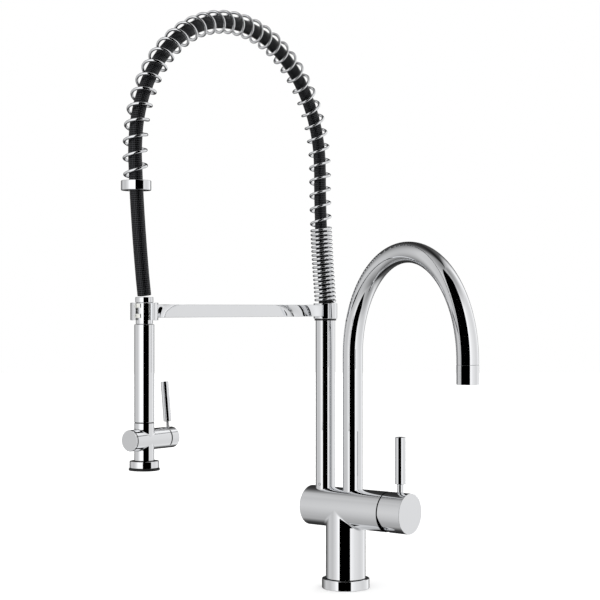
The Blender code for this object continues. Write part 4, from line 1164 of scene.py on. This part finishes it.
class FAUCET_OT_stage(bpy.types.Operator):
    """Pale floor, plain surround, soft lights, a black flag and the camera"""
    bl_idname = "faucet.stage"
    bl_label = "Studio"

    def execute(self, context):
        scene = context.scene
        scene.view_settings.view_transform = "Standard"
        self.walls(scene)
        self.floor()
        left, right = FLAG_EDGES
        low, high = FLAG_HEIGHTS
        corners = [beside_camera(*left, low), beside_camera(*right, low), beside_camera(*right, high),
                   beside_camera(*left, high)]
        flat_panel("black_flag", corners, "#000000", 0.0)
        light = bpy.data.lights.new("overhead_diffuser", "SUN")
        light.angle = math.radians(120)
        light.energy = studio().key
        lamp = bpy.data.objects.new("overhead_diffuser", light)
        scene.collection.objects.link(lamp)
        lamp.visible_glossy = False
        camera = bpy.data.cameras.new("camera")
        camera.lens = studio().lens
        camera.clip_start = 0.05
        camera.shift_y = 0.0034
        view = bpy.data.objects.new("camera", camera)
        scene.collection.objects.link(view)
        view.location = CAMERA_AT
        view.rotation_euler = CAMERA_TURN
        scene.camera = view
        return {"FINISHED"}

    def walls(self, scene):
        world = bpy.data.worlds.new("studio_surround")
        scene.world = world
        world.use_nodes = True
        tree = world.node_tree
        background = tree.nodes["Background"]
        way = add_node(tree, "ShaderNodeSeparateXYZ",
                       {0: add_node(tree, "ShaderNodeTexCoord").outputs["Generated"]})
        turn = add_node(tree, "ShaderNodeMath", {0: way.outputs["Y"], 1: way.outputs["X"]},
                        operation="ARCTAN2").outputs[0]
        start = 0.5 - TO_CAMERA / (2 * math.pi)
        turn = add_node(tree, "ShaderNodeMath", {0: turn, 1: 0.5 / math.pi, 2: start},
                        operation="MULTIPLY_ADD").outputs[0]
        turn = add_node(tree, "ShaderNodeMath", {0: turn}, operation="FRACT").outputs[0]
        around = ramp(tree, turn, [((degrees + 180) / 360, grey) for degrees, grey in WALLS])
        height = add_node(tree, "ShaderNodeMath", {0: way.outputs["Z"], 1: 0.5, 2: 0.5},
                          operation="MULTIPLY_ADD").outputs[0]
        above = ramp(tree, height, [((sine + 1) / 2, grey) for sine, grey in HEIGHTS])
        light = add_node(tree, "ShaderNodeMix", {"Factor": 1.0, "A": around, "B": above},
                         data_type="RGBA", blend_type="MULTIPLY")
        tree.links.new(light.outputs["Result"], background.inputs["Color"])
        background.inputs["Strength"].default_value = studio().surround

    def floor(self):
        for name, build in (("studio_floor", self.disc), ("studio_backdrop", self.dome)):
            obj = bpy.data.objects.new(name, build(name))
            bpy.context.scene.collection.objects.link(obj)
            obj.visible_glossy = False
        obj.visible_diffuse = obj.visible_shadow = False

    def disc(self, name):
        mesh = bpy.data.meshes.new(name)
        shape = bmesh.new()
        bmesh.ops.create_circle(shape, cap_ends=True, segments=64, radius=6.0)
        shape.to_mesh(mesh)
        shape.free()
        material = bpy.data.materials.new("paper_matt")
        material.use_nodes = True
        shader = material.node_tree.nodes["Principled BSDF"]
        shader.inputs["Base Color"].default_value = (*studio().floor, 1.0)
        shader.inputs["Roughness"].default_value = 0.9
        shader.inputs["Specular IOR Level"].default_value = 0.0
        mesh.materials.append(material)
        return mesh

    def dome(self, name):
        mesh = bpy.data.meshes.new(name)
        shape = bmesh.new()
        bmesh.ops.create_uvsphere(shape, u_segments=48, v_segments=24, radius=5.9)
        shape.to_mesh(mesh)
        shape.free()
        material = bpy.data.materials.new("backdrop_lit")
        material.use_nodes = True
        tree = material.node_tree
        tree.nodes.clear()
        light = add_node(tree, "ShaderNodeEmission", {"Color": (1, 1, 1, 1), "Strength": 1.0})
        add_node(tree, "ShaderNodeOutputMaterial", {"Surface": light.outputs[0]})
        mesh.materials.append(material)
        return mesh


# ---------------------------------------------------------------- panel and registration

STEPS = (FAUCET_OT_stage, FAUCET_OT_body, FAUCET_OT_base, FAUCET_OT_riser, FAUCET_OT_gooseneck,
         FAUCET_OT_mixer, FAUCET_OT_arm, FAUCET_OT_guard, FAUCET_OT_hose, FAUCET_OT_spray_head,
         FAUCET_OT_spray_valve, FAUCET_OT_inside)
GROUPS = {"faucet_sizes": FaucetSizes, "faucet_finishes": FaucetFinishes, "faucet_studio": FaucetStudio}


class FAUCET_PT_panel(bpy.types.Panel):
    """Lists the settings and the steps that build the faucet"""
    bl_idname = "FAUCET_PT_panel"
    bl_label = "Kitchen faucet"
    bl_space_type = "VIEW_3D"
    bl_region_type = "UI"
    bl_category = "Faucet"

    def draw(self, context):
        for name, group in GROUPS.items():
            column = self.layout.column()
            for prop in group.__annotations__:
                column.prop(getattr(context.scene, name), prop)
        for step in STEPS:
            self.layout.operator(step.bl_idname)


def register():
    for cls in (*GROUPS.values(), *STEPS, FAUCET_PT_panel):
        bpy.utils.register_class(cls)
    for name, group in GROUPS.items():
        setattr(bpy.types.Scene, name, PointerProperty(type=group))


def unregister():
    for name in GROUPS:
        delattr(bpy.types.Scene, name)
    for cls in reversed((*GROUPS.values(), *STEPS, FAUCET_PT_panel)):
        bpy.utils.unregister_class(cls)


def main():
    register()
    for step in STEPS:
        group, name = step.bl_idname.split(".")
        getattr(getattr(bpy.ops, group), name)()


if __name__ == "__main__":
    main()
